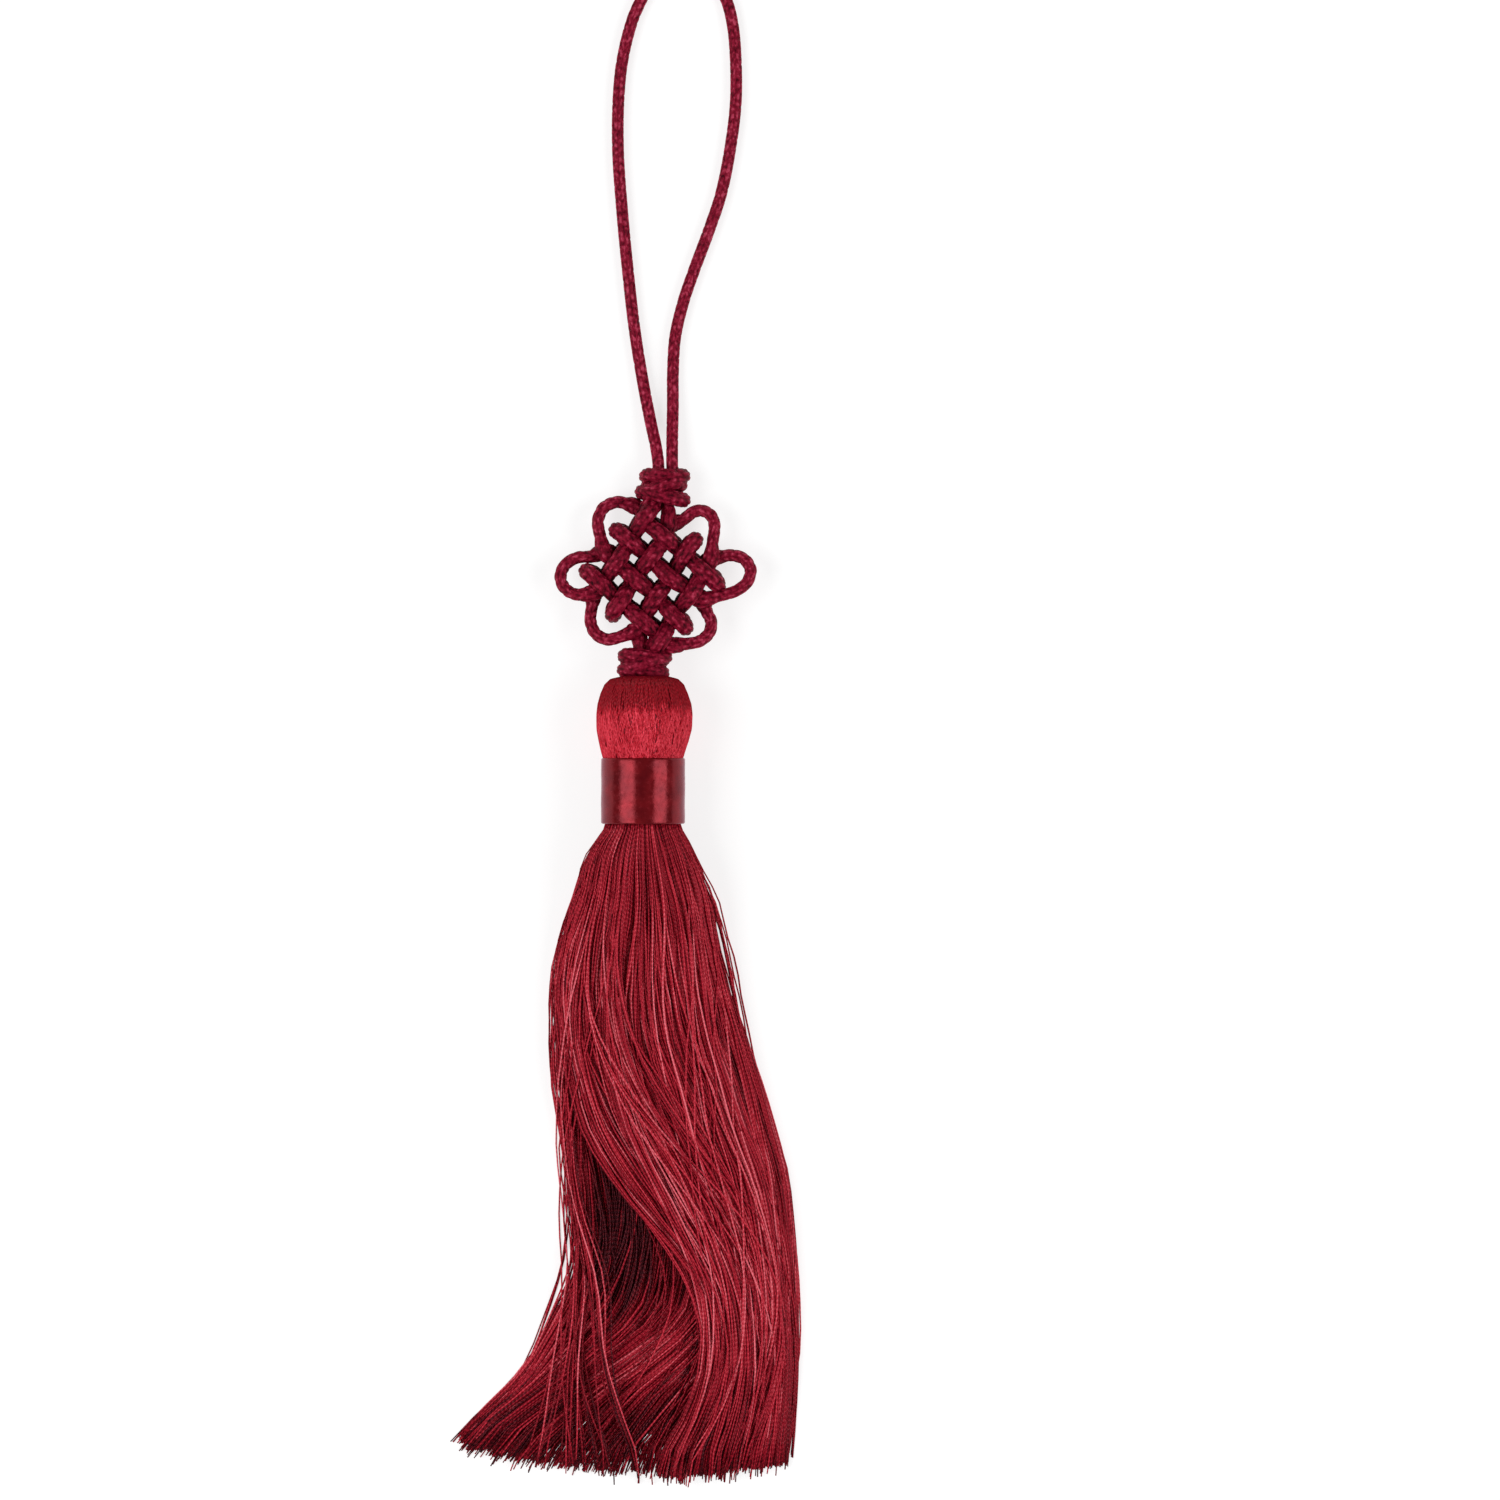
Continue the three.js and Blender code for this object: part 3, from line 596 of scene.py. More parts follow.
class Nodes:
    """Short ways to make and link a material's nodes."""

    def __init__(self, name):
        self.material = bpy.data.materials.new(name)
        self.material.use_nodes = True
        self.tree = self.material.node_tree
        self.tree.nodes.clear()
        self.shader = self.add("BsdfPrincipled")
        output = self.add("OutputMaterial")
        self.link(self.shader.outputs["BSDF"], output.inputs["Surface"])

    def add(self, kind, **settings):
        node = self.tree.nodes.new("ShaderNode" + kind)
        for key, value in settings.items():
            setattr(node, key, value)
        return node

    def link(self, source, target):
        self.tree.links.new(source, target)

    def feed(self, node, **values):
        for key, value in values.items():
            socket = node.inputs[key if key in node.inputs else int(key.strip("_"))]
            if hasattr(value, "is_linked"):
                self.link(value, socket)
            else:
                socket.default_value = value
        return node

    def math(self, operation, *values):
        node = self.add("Math", operation=operation)
        self.feed(node, **{f"_{place}": value for place, value in enumerate(values)})
        return node.outputs[0]

    def tone(self):
        return self.add("Attribute", attribute_name="tone").outputs["Fac"]

    def uv(self):
        split = self.add("SeparateXYZ")
        self.link(self.add("UVMap", uv_map="along").outputs["UV"], split.inputs[0])
        return split.outputs["X"], split.outputs["Y"]

    def noise(self, scale, detail=2.0):
        place = self.add("TexCoord").outputs["Object"]
        node = self.add("TexNoise")
        self.feed(node, Vector=place, Scale=scale, Detail=detail)
        return node.outputs["Fac"]

    def ramp(self, factor, stops):
        node = self.add("ValToRGB")
        ramp = node.color_ramp
        while len(ramp.elements) < len(stops):
            ramp.elements.new(0.5)
        for element, (place, colour) in zip(ramp.elements, stops):
            element.position = place
            element.color = (*colour, 1.0)
        self.link(factor, node.inputs["Fac"])
        return node.outputs["Color"]

    def bump(self, height, distance):
        node = self.add("Bump")
        self.feed(node, Height=height, Distance=distance, Strength=1.0)
        self.link(node.outputs["Normal"], self.shader.inputs["Normal"])

    def finish(self, **values):
        for key, value in values.items():
            self.shader.inputs[key.replace("_", " ")].default_value = value
        return self.material


def shade(red, green, blue):
    """A colour given as it looks on a screen, from 0 to 255, by the numbers of the sRGB standard."""
    shares = [level / 255 for level in (red, green, blue)]
    return tuple(((s + 0.055) / 1.055) ** 2.4 if s > 10 / 255 else s / 12.92 for s in shares)


# Each colour stands at a tone from 0 to 1.
CORD_COLOURS = [
    (0.05, shade(36, 0, 7)), (0.4, shade(96, 5, 26)), (0.72, shade(136, 20, 46)), (1.0, shade(180, 62, 88)),
]
YARN_COLOURS = [
    (0.0, shade(44, 0, 8)),
    (0.25, shade(108, 3, 18)),
    (0.5, shade(160, 18, 38)),
    (0.75, shade(200, 48, 64)),
    (1.0, shade(238, 112, 124)),
]
HEAD_COLOURS = [
    (0.0, shade(84, 0, 10)), (0.3, shade(128, 4, 18)), (0.6, shade(190, 24, 42)), (1.0, shade(236, 66, 84)),
]
CORE_COLOURS = [(0.1, shade(70, 0, 10)), (0.6, shade(140, 14, 30))]
SATIN_COLOURS = [(0.2, shade(90, 0, 8)), (0.55, shade(114, 10, 17)), (0.9, shade(140, 18, 28))]
FLOOR_COLOURS = [(0.3, (0.36, 0.36, 0.36)), (0.7, (0.38, 0.38, 0.38))]

# The cord's filaments, in radians for each mm and each column, its flecks, which are random tone and
# painted glints, and what sets its tone, which carries painted shade in the furrows and inside the weave
FILAMENTS_ALONG, FILAMENTS_ACROSS = 9.0, 34.0
TONE_AND_GLINT_FLECKS = {"scale": 1250.0, "gain": 1.5, "base": -0.45}
BRAID_TONE, FILAMENT_TONE = 0.5, 0.05
FILAMENT_RELIEF = 0.00001

# The length in which a thread's two plies turn once, the painted shade in the grooves between them and
# their relief.
PLY_TURN = 0.8
PLY_SHADE = 0.08
PLY_RELIEF = 0.00003

WINDING_PITCH, WINDING_TONE, WINDING_RELIEF = 0.21, 0.1, 0.000005
CLOUDS = {"scale": 420.0, "detail": 3.0}
GLOSS = {"scale": 1400.0, "gain": 0.6, "base": -0.1}
WINDING_UNEVEN = {"scale": 600.0, "gain": 3.0}
FLOOR_CLOUDS = 6.0


def cord_material():
    """Filaments run along each stitch, which slants one way and the other in turn round the cord."""
    n = Nodes("braided_cord")
    around, along = n.uv()
    column = n.math("MULTIPLY", around, float(BRAID_COLUMNS))
    slant = n.math("MULTIPLY_ADD", n.math("PINGPONG", n.math("FLOOR", column), 1.0), 2.0, -1.0)
    across = n.math("MULTIPLY", column, FILAMENTS_ACROSS)
    slanted = n.math("MULTIPLY", along, slant)
    filaments = n.math("SINE", n.math("MULTIPLY_ADD", slanted, FILAMENTS_ALONG, across))
    # Noise flecks: random tone and painted glints.
    flecks = n.math("MULTIPLY_ADD", n.noise(TONE_AND_GLINT_FLECKS["scale"]), TONE_AND_GLINT_FLECKS["gain"], TONE_AND_GLINT_FLECKS["base"])
    flecks = n.math("MULTIPLY_ADD", filaments, FILAMENT_TONE, flecks)
    # The tone attribute brings the painted shade of the furrows and of the weave.
    level = n.math("MULTIPLY_ADD", n.tone(), BRAID_TONE, flecks)
    n.link(n.ramp(level, CORD_COLOURS), n.shader.inputs["Base Color"])
    n.bump(filaments, FILAMENT_RELIEF)
    return n.finish(Roughness=0.5, Specular_IOR_Level=0.12, Specular_Tint=(1.0, 0.4, 0.5, 1.0))


def thread_material(name, colours):
    """Two plies wind round each thread, with painted shade in the grooves between them."""
    n = Nodes(name)
    around, along = n.uv()
    turns = n.math("ADD", n.math("DIVIDE", along, PLY_TURN), around)
    ply = n.math("SINE", n.math("MULTIPLY", turns, math.tau))
    level = n.math("MULTIPLY_ADD", ply, PLY_SHADE, n.tone())
    n.link(n.ramp(level, colours), n.shader.inputs["Base Color"])
    n.bump(ply, PLY_RELIEF)
    return n.finish(Roughness=0.38, Specular_IOR_Level=0.5, Specular_Tint=(1.0, 0.3, 0.35, 1.0))


def satin_material():
    """Close turns of thread with a sheen, partly metallic so that its light edges stay red."""
    n = Nodes("satin_winding")
    _, along = n.uv()
    thread = n.math("SINE", n.math("MULTIPLY", along, math.tau / WINDING_PITCH))
    clouds = n.noise(CLOUDS["scale"], CLOUDS["detail"])
    level = n.math("ADD", n.math("MULTIPLY", thread, WINDING_TONE), clouds)
    n.link(n.ramp(level, SATIN_COLOURS), n.shader.inputs["Base Color"])
    gloss = n.math("MULTIPLY_ADD", n.noise(GLOSS["scale"]), GLOSS["gain"], GLOSS["base"])
    n.link(gloss, n.shader.inputs["Roughness"])
    uneven = n.noise(WINDING_UNEVEN["scale"])
    n.bump(n.math("MULTIPLY_ADD", uneven, WINDING_UNEVEN["gain"], thread), WINDING_RELIEF)
    return n.finish(Metallic=0.45, Specular_IOR_Level=0.4, Specular_Tint=(1.0, 0.67, 0.8, 1.0))


def floor_material():
    """A plain pale floor that gives some light of its own."""
    n = Nodes("pale_floor")
    n.link(n.ramp(n.noise(FLOOR_CLOUDS), FLOOR_COLOURS), n.shader.inputs["Base Color"])
    white = (1.0, 1.0, 1.0, 1.0)
    return n.finish(Roughness=0.9, Specular_IOR_Level=0.1, Emission_Color=white, Emission_Strength=0.7)


# The knots


def middle_height(y):
    """The height of the knots' middle, which falls from the head to the loop."""
    share = (y - KNOT_START_Y) / (KNOT_END_Y - KNOT_START_Y)
    return MIDDLE_AT_HEAD + (MIDDLE_AT_LOOP - MIDDLE_AT_HEAD) * share


def on_knot(x, y, lift):
    return np.array([x, y, middle_height(y) + lift])


CROSSING_OFFSETS = np.random.default_rng(SEED + 5).uniform(-1, 1, (2, LINES_EACH_WAY, LINES_EACH_WAY, 3))
CROSSING_OFFSETS *= (UNEVEN, UNEVEN, UNEVEN_LIFT)


def on_line(line, along, layer):
    """A point on a line counted in crossings, at its height in the weave."""
    kind, index = line[0], int(line[1])
    a, b = (along, index) if kind == "a" else (index, along)
    beside = unit(B_STEP if kind == "a" else A_STEP) * layer * STRAND_SHIFT
    x, y = FIRST_CROSSING + a * A_STEP + b * B_STEP + beside
    nearest = min(max(int(math.floor(along + 0.5)), 0), LINES_EACH_WAY - 1)
    outside = (kind == "a") == ((index + nearest) % 2 == 1)
    off = CROSSING_OFFSETS["ab".index(kind), index, nearest]
    return on_knot(x + off[0], y + off[1], layer * ((OUTER_LIFT if outside else INNER_LIFT) + off[2]))


def open_end(line, layer):
    closed, _ = HAIRPINS[line]
    place = -OPEN_REACH if closed == "far" else LINES_EACH_WAY - 1 + OPEN_REACH
    return on_line(line, place, layer)


def hairpin_points(line):
    """A line's front, its closed end and its back, as points on the cord's way."""
    closed, reach = HAIRPINS[line]
    crossings = list(range(LINES_EACH_WAY))
    if closed == "near":
        crossings = crossings[::-1]
    turn = LINES_EACH_WAY - 1 + reach if closed == "far" else -reach
    turn_start = crossings[-1] + (turn - crossings[-1]) * HAIRPIN_START
    front, tip, back = on_line(line, turn_start, 1), on_line(line, turn, 1), on_line(line, turn_start, -1)
    shoulder = front[2] - middle_height(front[1])
    points = [open_end(line, 1)] + [on_line(line, c, 1) for c in crossings]
    points += [
        front - (0, 0, HAIRPIN_LOWERED * shoulder),
        on_knot(tip[0], tip[1], HAIRPIN_TIP * shoulder),
        on_knot(tip[0], tip[1], -HAIRPIN_TIP * shoulder),
        back + (0, 0, HAIRPIN_LOWERED * shoulder),
    ]
    return points + [on_line(line, c, -1) for c in crossings[::-1]] + [open_end(line, -1)]


def ear_points(name):
    """An ear's points, which rise from the back of one line to the front of the next."""
    bow = EAR_BOWS[name]
    lifts = [INNER_LIFT * (2 * (at + 1) / (len(bow) + 1) - 1) for at in range(len(bow))]
    return [on_knot(x, y, lift) for (x, y), lift in zip(bow, lifts)]


def cord_size(route):
    """The cord's radius along a route, then from 0 to 1 how far inside the weave it is and how swollen."""
    steps = (route[:, :2] - FIRST_CROSSING) @ np.linalg.inv(np.array([A_STEP, B_STEP]))
    outside = np.maximum(-steps, steps - (LINES_EACH_WAY - 1)).max(axis=1)
    inside = 1 - smooth_step(*WEAVE_EDGE, outside)
    lift = np.abs(route[:, 2] - middle_height(route[:, 1])) / OUTER_LIFT
    full = np.maximum(smooth_step(*SWOLLEN_LIFT, lift), smooth_step(*SWOLLEN_OUTSIDE, outside))
    return BRAID_RADIUS + inside * (PRESSED + SWOLLEN * full), inside, full


def make_knotted_cord(material):
    for name, run in CORD_RUNS.items():
        points = []
        for at, line in enumerate(run["lines"]):
            if at:
                points += ear_points(run["lines"][at - 1] + "-" + line)
            points += hairpin_points(line)
        # The leads go straight to and from the outermost crossings.
        lead_in, lead_out = ([on_knot(*p) for p in run[lead]] for lead in ("lead_in", "lead_out"))
        route = smooth_route(lead_in + points[1:-1] + lead_out, BRAID_STEP)
        size, inside, full = cord_size(route)
        # Painted shade inside the weave, and more where the cord runs below.
        weave_shade = inside * (WEAVE_SHADE_INSIDE + WEAVE_SHADE_BELOW * (1 - full))
        piece = braided_cord(name, route, material, size=size, flat=FLATTENED * inside, weave_shade=weave_shade)
        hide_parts("knotted_cord")


def turn_route(x, y, wide, deep, front_slope, back_slope, proud):
    """The closed middle line of a turn of cord round a double knot."""
    angle = np.linspace(0, math.tau, TURN_POINTS, endpoint=False)
    out, depth = wide * np.cos(angle), deep * np.sin(angle)
    front = np.clip(np.sin(angle), 0, 1)
    share = 0.5 + 0.5 * np.sin(angle)
    y = y + np.tan(np.radians(back_slope + (front_slope - back_slope) * share)) * out
    z = middle_height(y) + depth + proud * front**2
    line = np.stack([x + out, y, z], axis=1)
    return spaced(np.vstack([line, line[:1]]), BRAID_STEP)[:-1]


def make_double_knots(material):
    # The turns carry the painted shade of the inside of the weave.
    look = {"closed": True, "size": TURN_RADIUS, "weave_shade": WEAVE_SHADE_INSIDE}
    for number, turn in enumerate(TURNS):
        piece = braided_cord(f"double_knot_turn_{number + 1}", turn_route(*turn), material, **look)
        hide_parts("knotted_cord")


def make_loop(material):
    route = smooth_route([TUCKED_ENDS[0]] + LOOP_ROUTE + [TUCKED_ENDS[1]], BRAID_STEP)
    piece = braided_cord("hanging_loop_cord", route, material)
    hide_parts("hanging_loop")


# The head and the collar


def head_point(profile, angle, sink):
    """Points on the head at shares of its profile and angles round it, sink below its surface."""
    steps = np.linspace(0, 1, len(HEAD_PROFILE))
    y, radius, middle = (np.interp(profile, steps, HEAD_PROFILE[:, k]) for k in range(3))
    radius = radius - sink
    z = np.maximum(AXIS_HEIGHT + radius * np.sin(angle), sink)
    return np.stack([middle + radius * np.cos(angle), y + 0 * angle, z], axis=-1)


def make_head_threads(material):
    """Threads that are folded over the crown and run down to the collar."""
    random = np.random.default_rng(SEED)
    count, stations = HEAD_THREADS, HEAD_STATIONS
    profile = np.linspace(0, 1, stations)[None] ** HEAD_STATION_POWER
    outer = np.arange(count) % 2 == 0
    spacing = random.uniform(-HEAD_SPACING, HEAD_SPACING, count)
    angle = math.tau * (np.arange(count) + spacing) / count
    drift = random.normal(0, HEAD_DRIFT, count)[:, None] * (profile - 0.5)
    wave = 0
    for paces, share in ((LONG_PACES, 1.0), (QUICK_PACES, smooth_step(*QUICK_FROM, profile))):
        pace, phase = random.uniform(*paces, count), random.uniform(0, 6, count)
        wave = wave + HEAD_WAVE * np.sin(profile * pace[:, None] + phase[:, None]) * share
    sink = np.where(outer, OUTER_SINK, INNER_SINK)[:, None] * HEAD_THREAD_RADIUS
    sink = sink + SINK_UNEVEN * random.uniform(size=(count, 1))
    paths = head_point(profile + 0 * angle[:, None], angle[:, None] + drift + wave, sink)
    # Painted light on the head's lower part, from a ragged edge on.
    ragged = profile + random.normal(0, SHINE_RAGGED, (count, 1))
    low = smooth_step(HEAD_SHINE_FROM - SHINE_EDGE, HEAD_SHINE_FROM + SHINE_EDGE, ragged)
    # Painted shade on the head next to the collar.
    tones = HEAD_TONE + HEAD_SHINE * low - COLLAR_SHADE * smooth_step(*UNDER_COLLAR, profile)
    tones = tones + random.normal(0, HEAD_TONE_UNEVEN, (count, 1))
    shown = GLINTS_ABOVE + (1 - GLINTS_ABOVE) * low
    tones = tones + glints(random, count, stations, HEAD_GLINTS) * shown
    piece = threads_mesh("head_threads", paths, HEAD_THREAD_RADIUS, tones.clip(0, 1), material)
    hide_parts("tassel_yarn")


def make_head_core(material):
    """The closed body of yarn under the head's threads."""
    sides, rings = CORE_SIDES, CORE_RINGS
    angle = np.arange(sides) / sides * math.tau
    shares = np.linspace(0, 1, rings)
    points = np.array([head_point(np.full(sides, s), angle, 2 * HEAD_THREAD_RADIUS) for s in shares])
    quads, places = tube_faces(rings, sides)
    uv = np.vstack([(places * (1 / sides, 0.5)).reshape(-1, 2), np.zeros((2 * sides, 2))])
    # The core gets the same painted light on the head's lower part.
    shine = smooth_step(HEAD_SHINE_FROM, HEAD_SHINE_FROM + CORE_EDGE, shares)
    tone = np.repeat(CORE_TONE + CORE_SHINE * shine, sides)
    faces = [quads] + tube_caps(rings, sides)
    piece = add_mesh("head_core", points.reshape(-1, 3), faces, uv, tone, material)


def make_collar(material):
    """A satin winding with rolled edges: an open ring of one closed skin."""
    sides, roll = COLLAR_SIDES, COLLAR_ROLL
    inner = COLLAR_RADIUS - COLLAR_WALL
    corner = np.radians([90, 60, 30, 0])
    rolled = [(COLLAR_RADIUS - roll + roll * math.cos(c), roll * math.sin(c)) for c in corner]
    top = [(radius, COLLAR_TOP - roll + out) for radius, out in rolled]
    low = [(radius, COLLAR_END + roll - out) for radius, out in rolled[::-1]]
    heights = np.linspace(COLLAR_TOP - roll, COLLAR_END + roll, COLLAR_STATIONS)[1:-1]
    wall = [(COLLAR_RADIUS, y) for y in heights]
    profile = np.array([(inner, COLLAR_TOP)] + top + wall + low + [(inner, COLLAR_END)])
    angle = np.arange(sides) / sides * math.tau
    rings = len(profile)
    radius = np.repeat(profile[:, :1], sides, axis=1)
    y = np.repeat(profile[:, 1:], sides, axis=1)
    waves_round = np.sin(3 * angle + 0.35 * y)
    waves_along = np.sin(0.9 * y + 2 * angle)
    radius = radius + (radius > inner) * COLLAR_WAVE * waves_round * waves_along
    x, z = NECK_CENTRE_X + radius * np.cos(angle), AXIS_HEIGHT + radius * np.sin(angle)
    points = np.stack([x, y, z], axis=-1).reshape(-1, 3)
    quads, places = tube_faces(rings, sides)
    j = np.arange(sides)
    k = (j + 1) % sides
    last = (rings - 1) * sides
    inside = np.stack([last + j, last + k, k, j], axis=1)
    length = np.abs(profile[places[..., 1].clip(max=rings - 1), 1])
    uv = np.stack([places[..., 0] / sides, length], axis=-1).reshape(-1, 2)
    uv = np.vstack([uv, np.zeros((4 * sides, 2))])
    tone = np.full(sides * rings, COLLAR_TONE)
    piece = add_mesh("satin_collar_winding", points, [quads, inside], uv, tone, material)
    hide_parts("satin_collar")


# The skirt


def column(table, place, number):
    """A smooth curve through one column of a table, by how far below the origin its first column is."""
    x, y = -table[:, 0], table[:, number]
    slopes = np.gradient(y, x)
    at = np.clip(np.searchsorted(x, place, side="right") - 1, 0, len(x) - 2)
    width = x[at + 1] - x[at]
    t = np.clip((place - x[at]) / width, 0, 1)
    return (
        (1 + 2 * t) * (1 - t) ** 2 * y[at]
        + t * (1 - t) ** 2 * width * slopes[at]
        + t**2 * (3 - 2 * t) * y[at + 1]
        + t**2 * (t - 1) * width * slopes[at + 1]
    )


def waves(seed, across, along, depth):
    """Smooth uneven waves over the bunch, about -1 to 1."""
    random = np.random.default_rng(seed)
    total = 0
    for _ in range(WAVE_COUNT):
        pace = random.uniform(-1, 1, 3) * WAVE_PACES
        turns = pace[0] * across + pace[1] * along + pace[2] * depth + random.uniform()
        total = total + np.sin(math.tau * turns)
    return total / math.sqrt(WAVE_COUNT)


def smooth_step(low, high, value):
    """From 0 to 1, with a smooth start and end, as the value goes from low to high."""
    share = np.clip((value - low) / (high - low), 0, 1)
    return share * share * (3 - 2 * share)


def glints(random, count, stations, spread):
    """Light and dark stretches along each thread, as it turns its sheen to and from the light."""
    rough = random.normal(0, 1, (count, stations + 2))
    return spread * (rough[:, :-2] + GLINT_MIDDLE * rough[:, 1:-1] + rough[:, 2:]) / GLINT_SUM


def nearest_lock(across, layer, at):
    """The middle of each thread's lock across the skirt, and the lock's own wander along it."""
    random = np.random.default_rng(SEED + 4)
    middles, heights = random.uniform(-1, 1, LOCKS), random.uniform(0, 1, LOCKS)
    lock = np.argmin((across - middles) ** 2 + (LOCK_BY_HEIGHT * (layer - heights)) ** 2, axis=1)
    swing, phase = random.normal(0, 1, (2, LOCKS)), random.uniform(0, math.tau, (2, LOCKS))
    slow = swing[0, lock, None] * np.sin(math.tau * SLOW_SWINGS * at + phase[0, lock, None])
    quick = swing[1, lock, None] * np.sin(math.tau * QUICK_SWINGS * at + phase[1, lock, None])
    return middles[lock, None], slow + QUICK_SWING_SHARE * quick


def flow_x(table, y, across):
    """The x of the flow at a y, for places across the bunch between the table's columns."""
    lines = np.stack([column(table, -y, k + 1) for k in range(len(FLOW_ACROSS))])
    across = np.broadcast_to(across, y.shape)
    here = np.clip(np.searchsorted(FLOW_ACROSS, across, side="right") - 1, 0, len(FLOW_ACROSS) - 2)
    share = (across - FLOW_ACROSS[here]) / (FLOW_ACROSS[here + 1] - FLOW_ACROSS[here])
    before = np.take_along_axis(lines, here[None], axis=0)[0]
    after = np.take_along_axis(lines, here[None] + 1, axis=0)[0]
    return before + (after - before) * share


def skirt_threads(random, count, low_layer, high_layer, stray=False, even=False):
    """Paths of threads between two shares of the skirt's height, and how light they are."""
    at = np.linspace(0, 1, SKIRT_STATIONS)[None] ** STATION_POWER
    turn = random.uniform(0, math.tau, count)
    across = (np.sqrt(random.uniform(0, 1, count)) * np.cos(turn))[:, None]
    layer = random.uniform(low_layer, high_layer, count)[:, None]
    loose = smooth_step(*LOOSE_ALONG, at)
    field = waves(SEED + 1, across, at, layer)
    lifts = waves(SEED + 2, across, at, layer)
    shine = waves(SEED + 3, across, SHINE_PACE * at, layer)

    # Places across the bunch, from -1 at the left to 1 at the right.
    lock_across, lock_wander = nearest_lock(across, layer, at)
    gather = LOCK_GATHER * smooth_step(*GATHERED_ALONG, at)
    gather = gather * (1 - OPEN_TIPS * smooth_step(*OPEN_TIPS_ALONG, at)) * (1 - EDGE_CALM * across**4)
    drift = random.normal(0, DRIFT_ACROSS, (count, 1)) * at
    place = across + gather * (lock_across - across) + drift
    quick = np.sin(random.uniform(*ROOT_PACES, (count, 1)) * at + ROOT_PHASES * turn[:, None])
    place = place + ROOT_WAVE * quick * (1 - at) ** 2
    if even:
        place = across = random.uniform(-BED_REACH, BED_REACH, (count, 1)) + 0 * at
    if stray:
        goal = random.uniform(-STRAY_REACH, STRAY_REACH, (count, 1))
        place = across + (goal - across) * smooth_step(*STRAY_CROSSES, at)
    place = np.clip(place, -1, 1)

    # The top threads part round the hollow. The ends follow the line of the cut.
    share = smooth_step(*FLOW_SWITCH, layer)
    lone = (random.uniform(size=(count, 1)) < LONE_SHARE) & (across < LONE_BELOW)
    lone_place = random.uniform(*LONE_ACROSS, (count, 1))
    parted = np.where(lone, lone_place, HOLLOW_EDGE + (1 - HOLLOW_EDGE) * (place + 1) / 2)
    top_place = place + (parted - place) * smooth_step(*PARTED_ALONG, at)
    level = np.full((count, 1), TIP_LEVEL)
    low_end = flow_x(LOW_FLOW, level, place[:, -1:])
    top_end = flow_x(TOP_FLOW, level, top_place[:, -1:])
    end = low_end * (1 - share) + top_end * share
    tip = np.interp(end, TIP_LINE[:, 0], TIP_LINE[:, 1])
    ragged = np.abs(random.normal(0, RAGGED, (count, 1)))
    ragged = ragged - LONG_TIP * (random.uniform(size=(count, 1)) < LONG_TIP_SHARE)
    start = NECK_END + ROOT_TUCK
    y = start + (tip + ragged - start) * at
    x = flow_x(LOW_FLOW, y, place) * (1 - share) + flow_x(TOP_FLOW, y, top_place) * share

    tucked = random.uniform(size=(count, 1)) > LOOSE_SHARE
    for tuck in TUCKS:
        hump = np.exp(-(((y - tuck["y"]) / tuck["long"]) ** 2))
        edge = smooth_step(TUCKED_FROM, 1.0, tuck["side"] * place)
        x = x - tuck["side"] * tuck["inward"] * hump * edge * tucked

    own = random.uniform(0, math.tau, (count, 3))
    wander = LOCK_WANDER * lock_wander + FIELD_WANDER * field
    wander = wander + LONG_WANDER * np.sin(LONG_PACE * at + own[:, :1])
    wander = wander + SHORT_WANDER * np.sin(SHORT_PACE * at + own[:, 1:2])
    x = x + loose * wander * (1 - EDGE_CALM * place**4)

    # The bunch is arched over the surface, and round where it leaves the neck.
    left, right = column(LOW_FLOW, -y, 1), column(TOP_FLOW, -y, len(FLOW_ACROSS))
    beside = np.clip(2 * (x - left) / (right - left) - 1, -1, 1)
    arch = np.sqrt(1 - beside**2)
    free = column(SKIRT_DEPTH, -y, 2) - 2 * THREAD_RADIUS
    settled = smooth_step(*SETTLED_ALONG, at)
    packed = PACKING * (1 - layer) * smooth_step(*PACKED_LAYERS, layer)
    height = layer + packed * (1 - smooth_step(*PACKED_ALONG, at))
    z = column(SKIRT_DEPTH, -y, 1) + THREAD_RADIUS
    z = z + (1 - settled) * 0.5 * free * (1 - arch) + free * arch * height
    z = z + loose * arch * LIFT * lifts
    z = np.maximum(z, THREAD_RADIUS)

    bright = (random.uniform(size=(count, 1)) < BRIGHT_SHARE) * random.uniform(*BRIGHTER, (count, 1))
    # Painted shade on threads deep in the bunch, less for high ones, those at the edges and low ones lying
    # bare.
    bare = (1 - share) * smooth_step(*BARE_BELOW, -y)
    depth = np.maximum(np.maximum(height**HEIGHT_POWER, beside**EDGE_POWER), BARE * bare)
    # Painted shade in the hollow, on its lower layers.
    off = ((x - HOLLOW["x"]) / HOLLOW["wide"]) ** 2 + ((y - HOLLOW["y"]) / HOLLOW["long"]) ** 2
    shaded = np.exp(-(off**2)) * (1 - smooth_step(*HOLLOW["fades"], layer))
    own_tone = random.normal(0, OWN_TONE, (count, 1)) + bright + STRAY_LIGHTER * stray
    opened = smooth_step(*OPENED_ALONG, at)
    # Painted light on the low threads where they sweep out bare of others.
    swept = (1 - share) * smooth_step(*SWEEP_FROM, -y) * (1 - smooth_step(*SWEEP_TO, -y))
    # Painted light on the skirt where it bulges.
    bulge = np.exp(-(((y - BULGE["y"]) / BULGE["long"]) ** 2))
    shown = CLOSED_SHARE + (1 - CLOSED_SHARE) * opened
    tones = TONE_BASE + SHADE_BY_DEPTH * depth + (TONE_BY_SHINE * shine + own_tone) * shown
    # Lighter where the threads open out, and painted shade towards the tips.
    tones = tones + OPENED_LIGHTER * opened - TIP_SHADE * smooth_step(*TIP_ALONG, at)
    tones = tones - HOLLOW["darker"] * shaded + SWEEP_LIGHT * swept + BULGE["lighter"] * bulge
    tones = tones + glints(random, count, SKIRT_STATIONS, GLINTS) * (2 - opened)
    return np.stack([x, np.broadcast_to(y, x.shape), z], axis=-1), np.clip(tones, 0, 1)


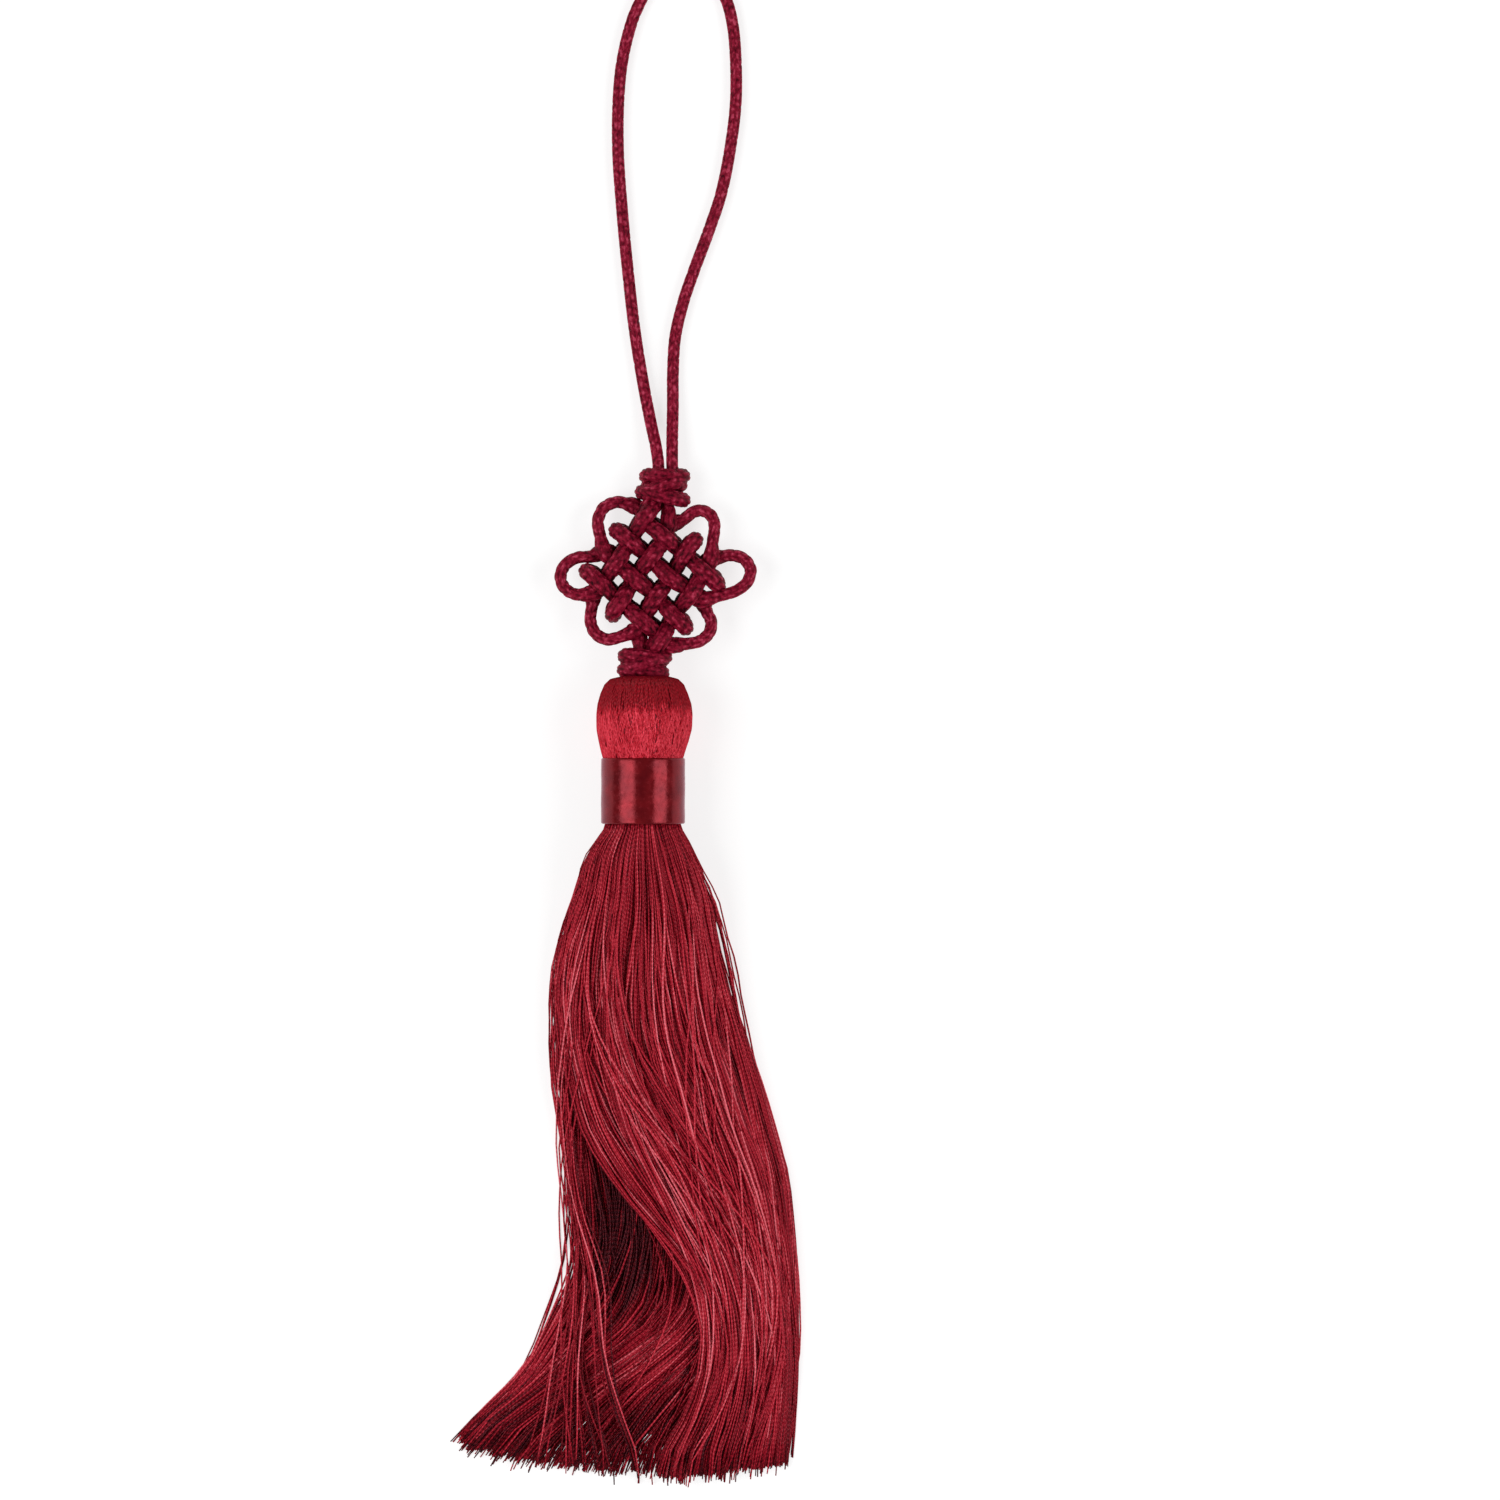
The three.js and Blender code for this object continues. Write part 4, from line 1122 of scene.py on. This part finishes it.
def make_inner_mass(material):
    """The close mass of inner threads, which shows dark between the outer ones, in a tone of painted shade.
    """
    sides, rings = INNER_SIDES, INNER_RINGS
    turn = np.arange(sides) / sides * math.tau
    level = np.full(sides, TIP_LEVEL)
    ends = flow_x(LOW_FLOW, level[None], INNER_MASS["wide"] * np.cos(turn)[None])
    end = np.interp(ends, TIP_LINE[:, 0], TIP_LINE[:, 1]) + INNER_MASS["short"]
    y = INNER_MASS["start"] + (end - INNER_MASS["start"]) * np.linspace(0, 1, rings)[:, None]
    left, right = column(LOW_FLOW, -y, 1), column(TOP_FLOW, -y, len(FLOW_ACROSS))
    x = (left + right) / 2 + INNER_MASS["wide"] * (right - left) / 2 * np.cos(turn)
    z = column(SKIRT_DEPTH, -y, 1) + INNER_MASS["height"] * column(SKIRT_DEPTH, -y, 2)
    z = z + INNER_MASS["half"] * np.sin(turn)
    quads, places = tube_faces(rings, sides)
    uv = np.vstack([(places * INNER_PLIES).reshape(-1, 2), np.zeros((2 * sides, 2))])
    points = np.stack([x, y, z], axis=-1).reshape(-1, 3)
    tone = np.full(len(points), INNER_SHADE_TONE)
    faces = [quads] + tube_caps(rings, sides)
    piece = add_mesh("skirt_inner_mass", points, faces, uv, tone, material)


def make_skirt(material):
    random = np.random.default_rng(SEED)
    for number, layers in enumerate(SKIRT_BUNCHES):
        threads = [skirt_threads(random, THREADS_IN_BUNCH, *layers)]
        if number == 0:
            threads.append(skirt_threads(random, BED_THREADS, *BED_LAYERS, even=True))
        if number == len(SKIRT_BUNCHES) - 1:
            threads.append(skirt_threads(random, STRAYS, *STRAY_LAYERS, stray=True))
        paths, tones = (np.concatenate(parts) for parts in zip(*threads))
        radius = THREAD_RADIUS * random.uniform(*THREAD_UNEVEN, len(paths))
        name = f"skirt_threads_{number + 1}"
        piece = threads_mesh(name, paths, radius, tones, material, root=FINE_ROOT)
        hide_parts("tassel_yarn")


# Floor and lights


def make_floor():
    mesh = bpy.data.meshes.new("floor")
    shape = bmesh.new()
    bmesh.ops.create_grid(shape, x_segments=1, y_segments=1, size=FLOOR_HALF_WIDTH)
    shape.to_mesh(mesh)
    shape.free()
    mesh.materials.append(floor_material())
    floor = bpy.data.objects.new("floor", mesh)
    floor.location = (0, 0, FLOOR_LEVEL)
    link(floor)


def make_light(name, place, size, power):
    data = bpy.data.lights.new(name, "AREA")
    data.shape = "RECTANGLE"
    data.size, data.size_y = size
    data.energy = power
    light = bpy.data.objects.new(name, data)
    light.location = place
    light.rotation_euler = (Vector(LIGHT_TARGET) - Vector(place)).to_track_quat("-Z", "Y").to_euler()
    link(light)


def make_lights():
    for name, light in LIGHTS.items():
        make_light(name, **light)
    world = bpy.data.worlds.new("studio")
    world.use_nodes = True
    background = world.node_tree.nodes["Background"]
    background.inputs["Color"].default_value = (1, 1, 1, 1)
    background.inputs["Strength"].default_value = SKY_STRENGTH
    bpy.context.scene.world = world
    bpy.context.scene.view_settings.view_transform = "Standard"


make_camera()
cord = cord_material()
yarn = thread_material("silk_yarn", YARN_COLOURS)
head_yarn = thread_material("head_silk", HEAD_COLOURS)
core = thread_material("core_silk", CORE_COLOURS)
make_loop(cord)
make_knotted_cord(cord)
make_double_knots(cord)
make_head_threads(head_yarn)
make_head_core(core)
make_collar(satin_material())
make_skirt(yarn)
make_inner_mass(core)
make_floor()
make_lights()
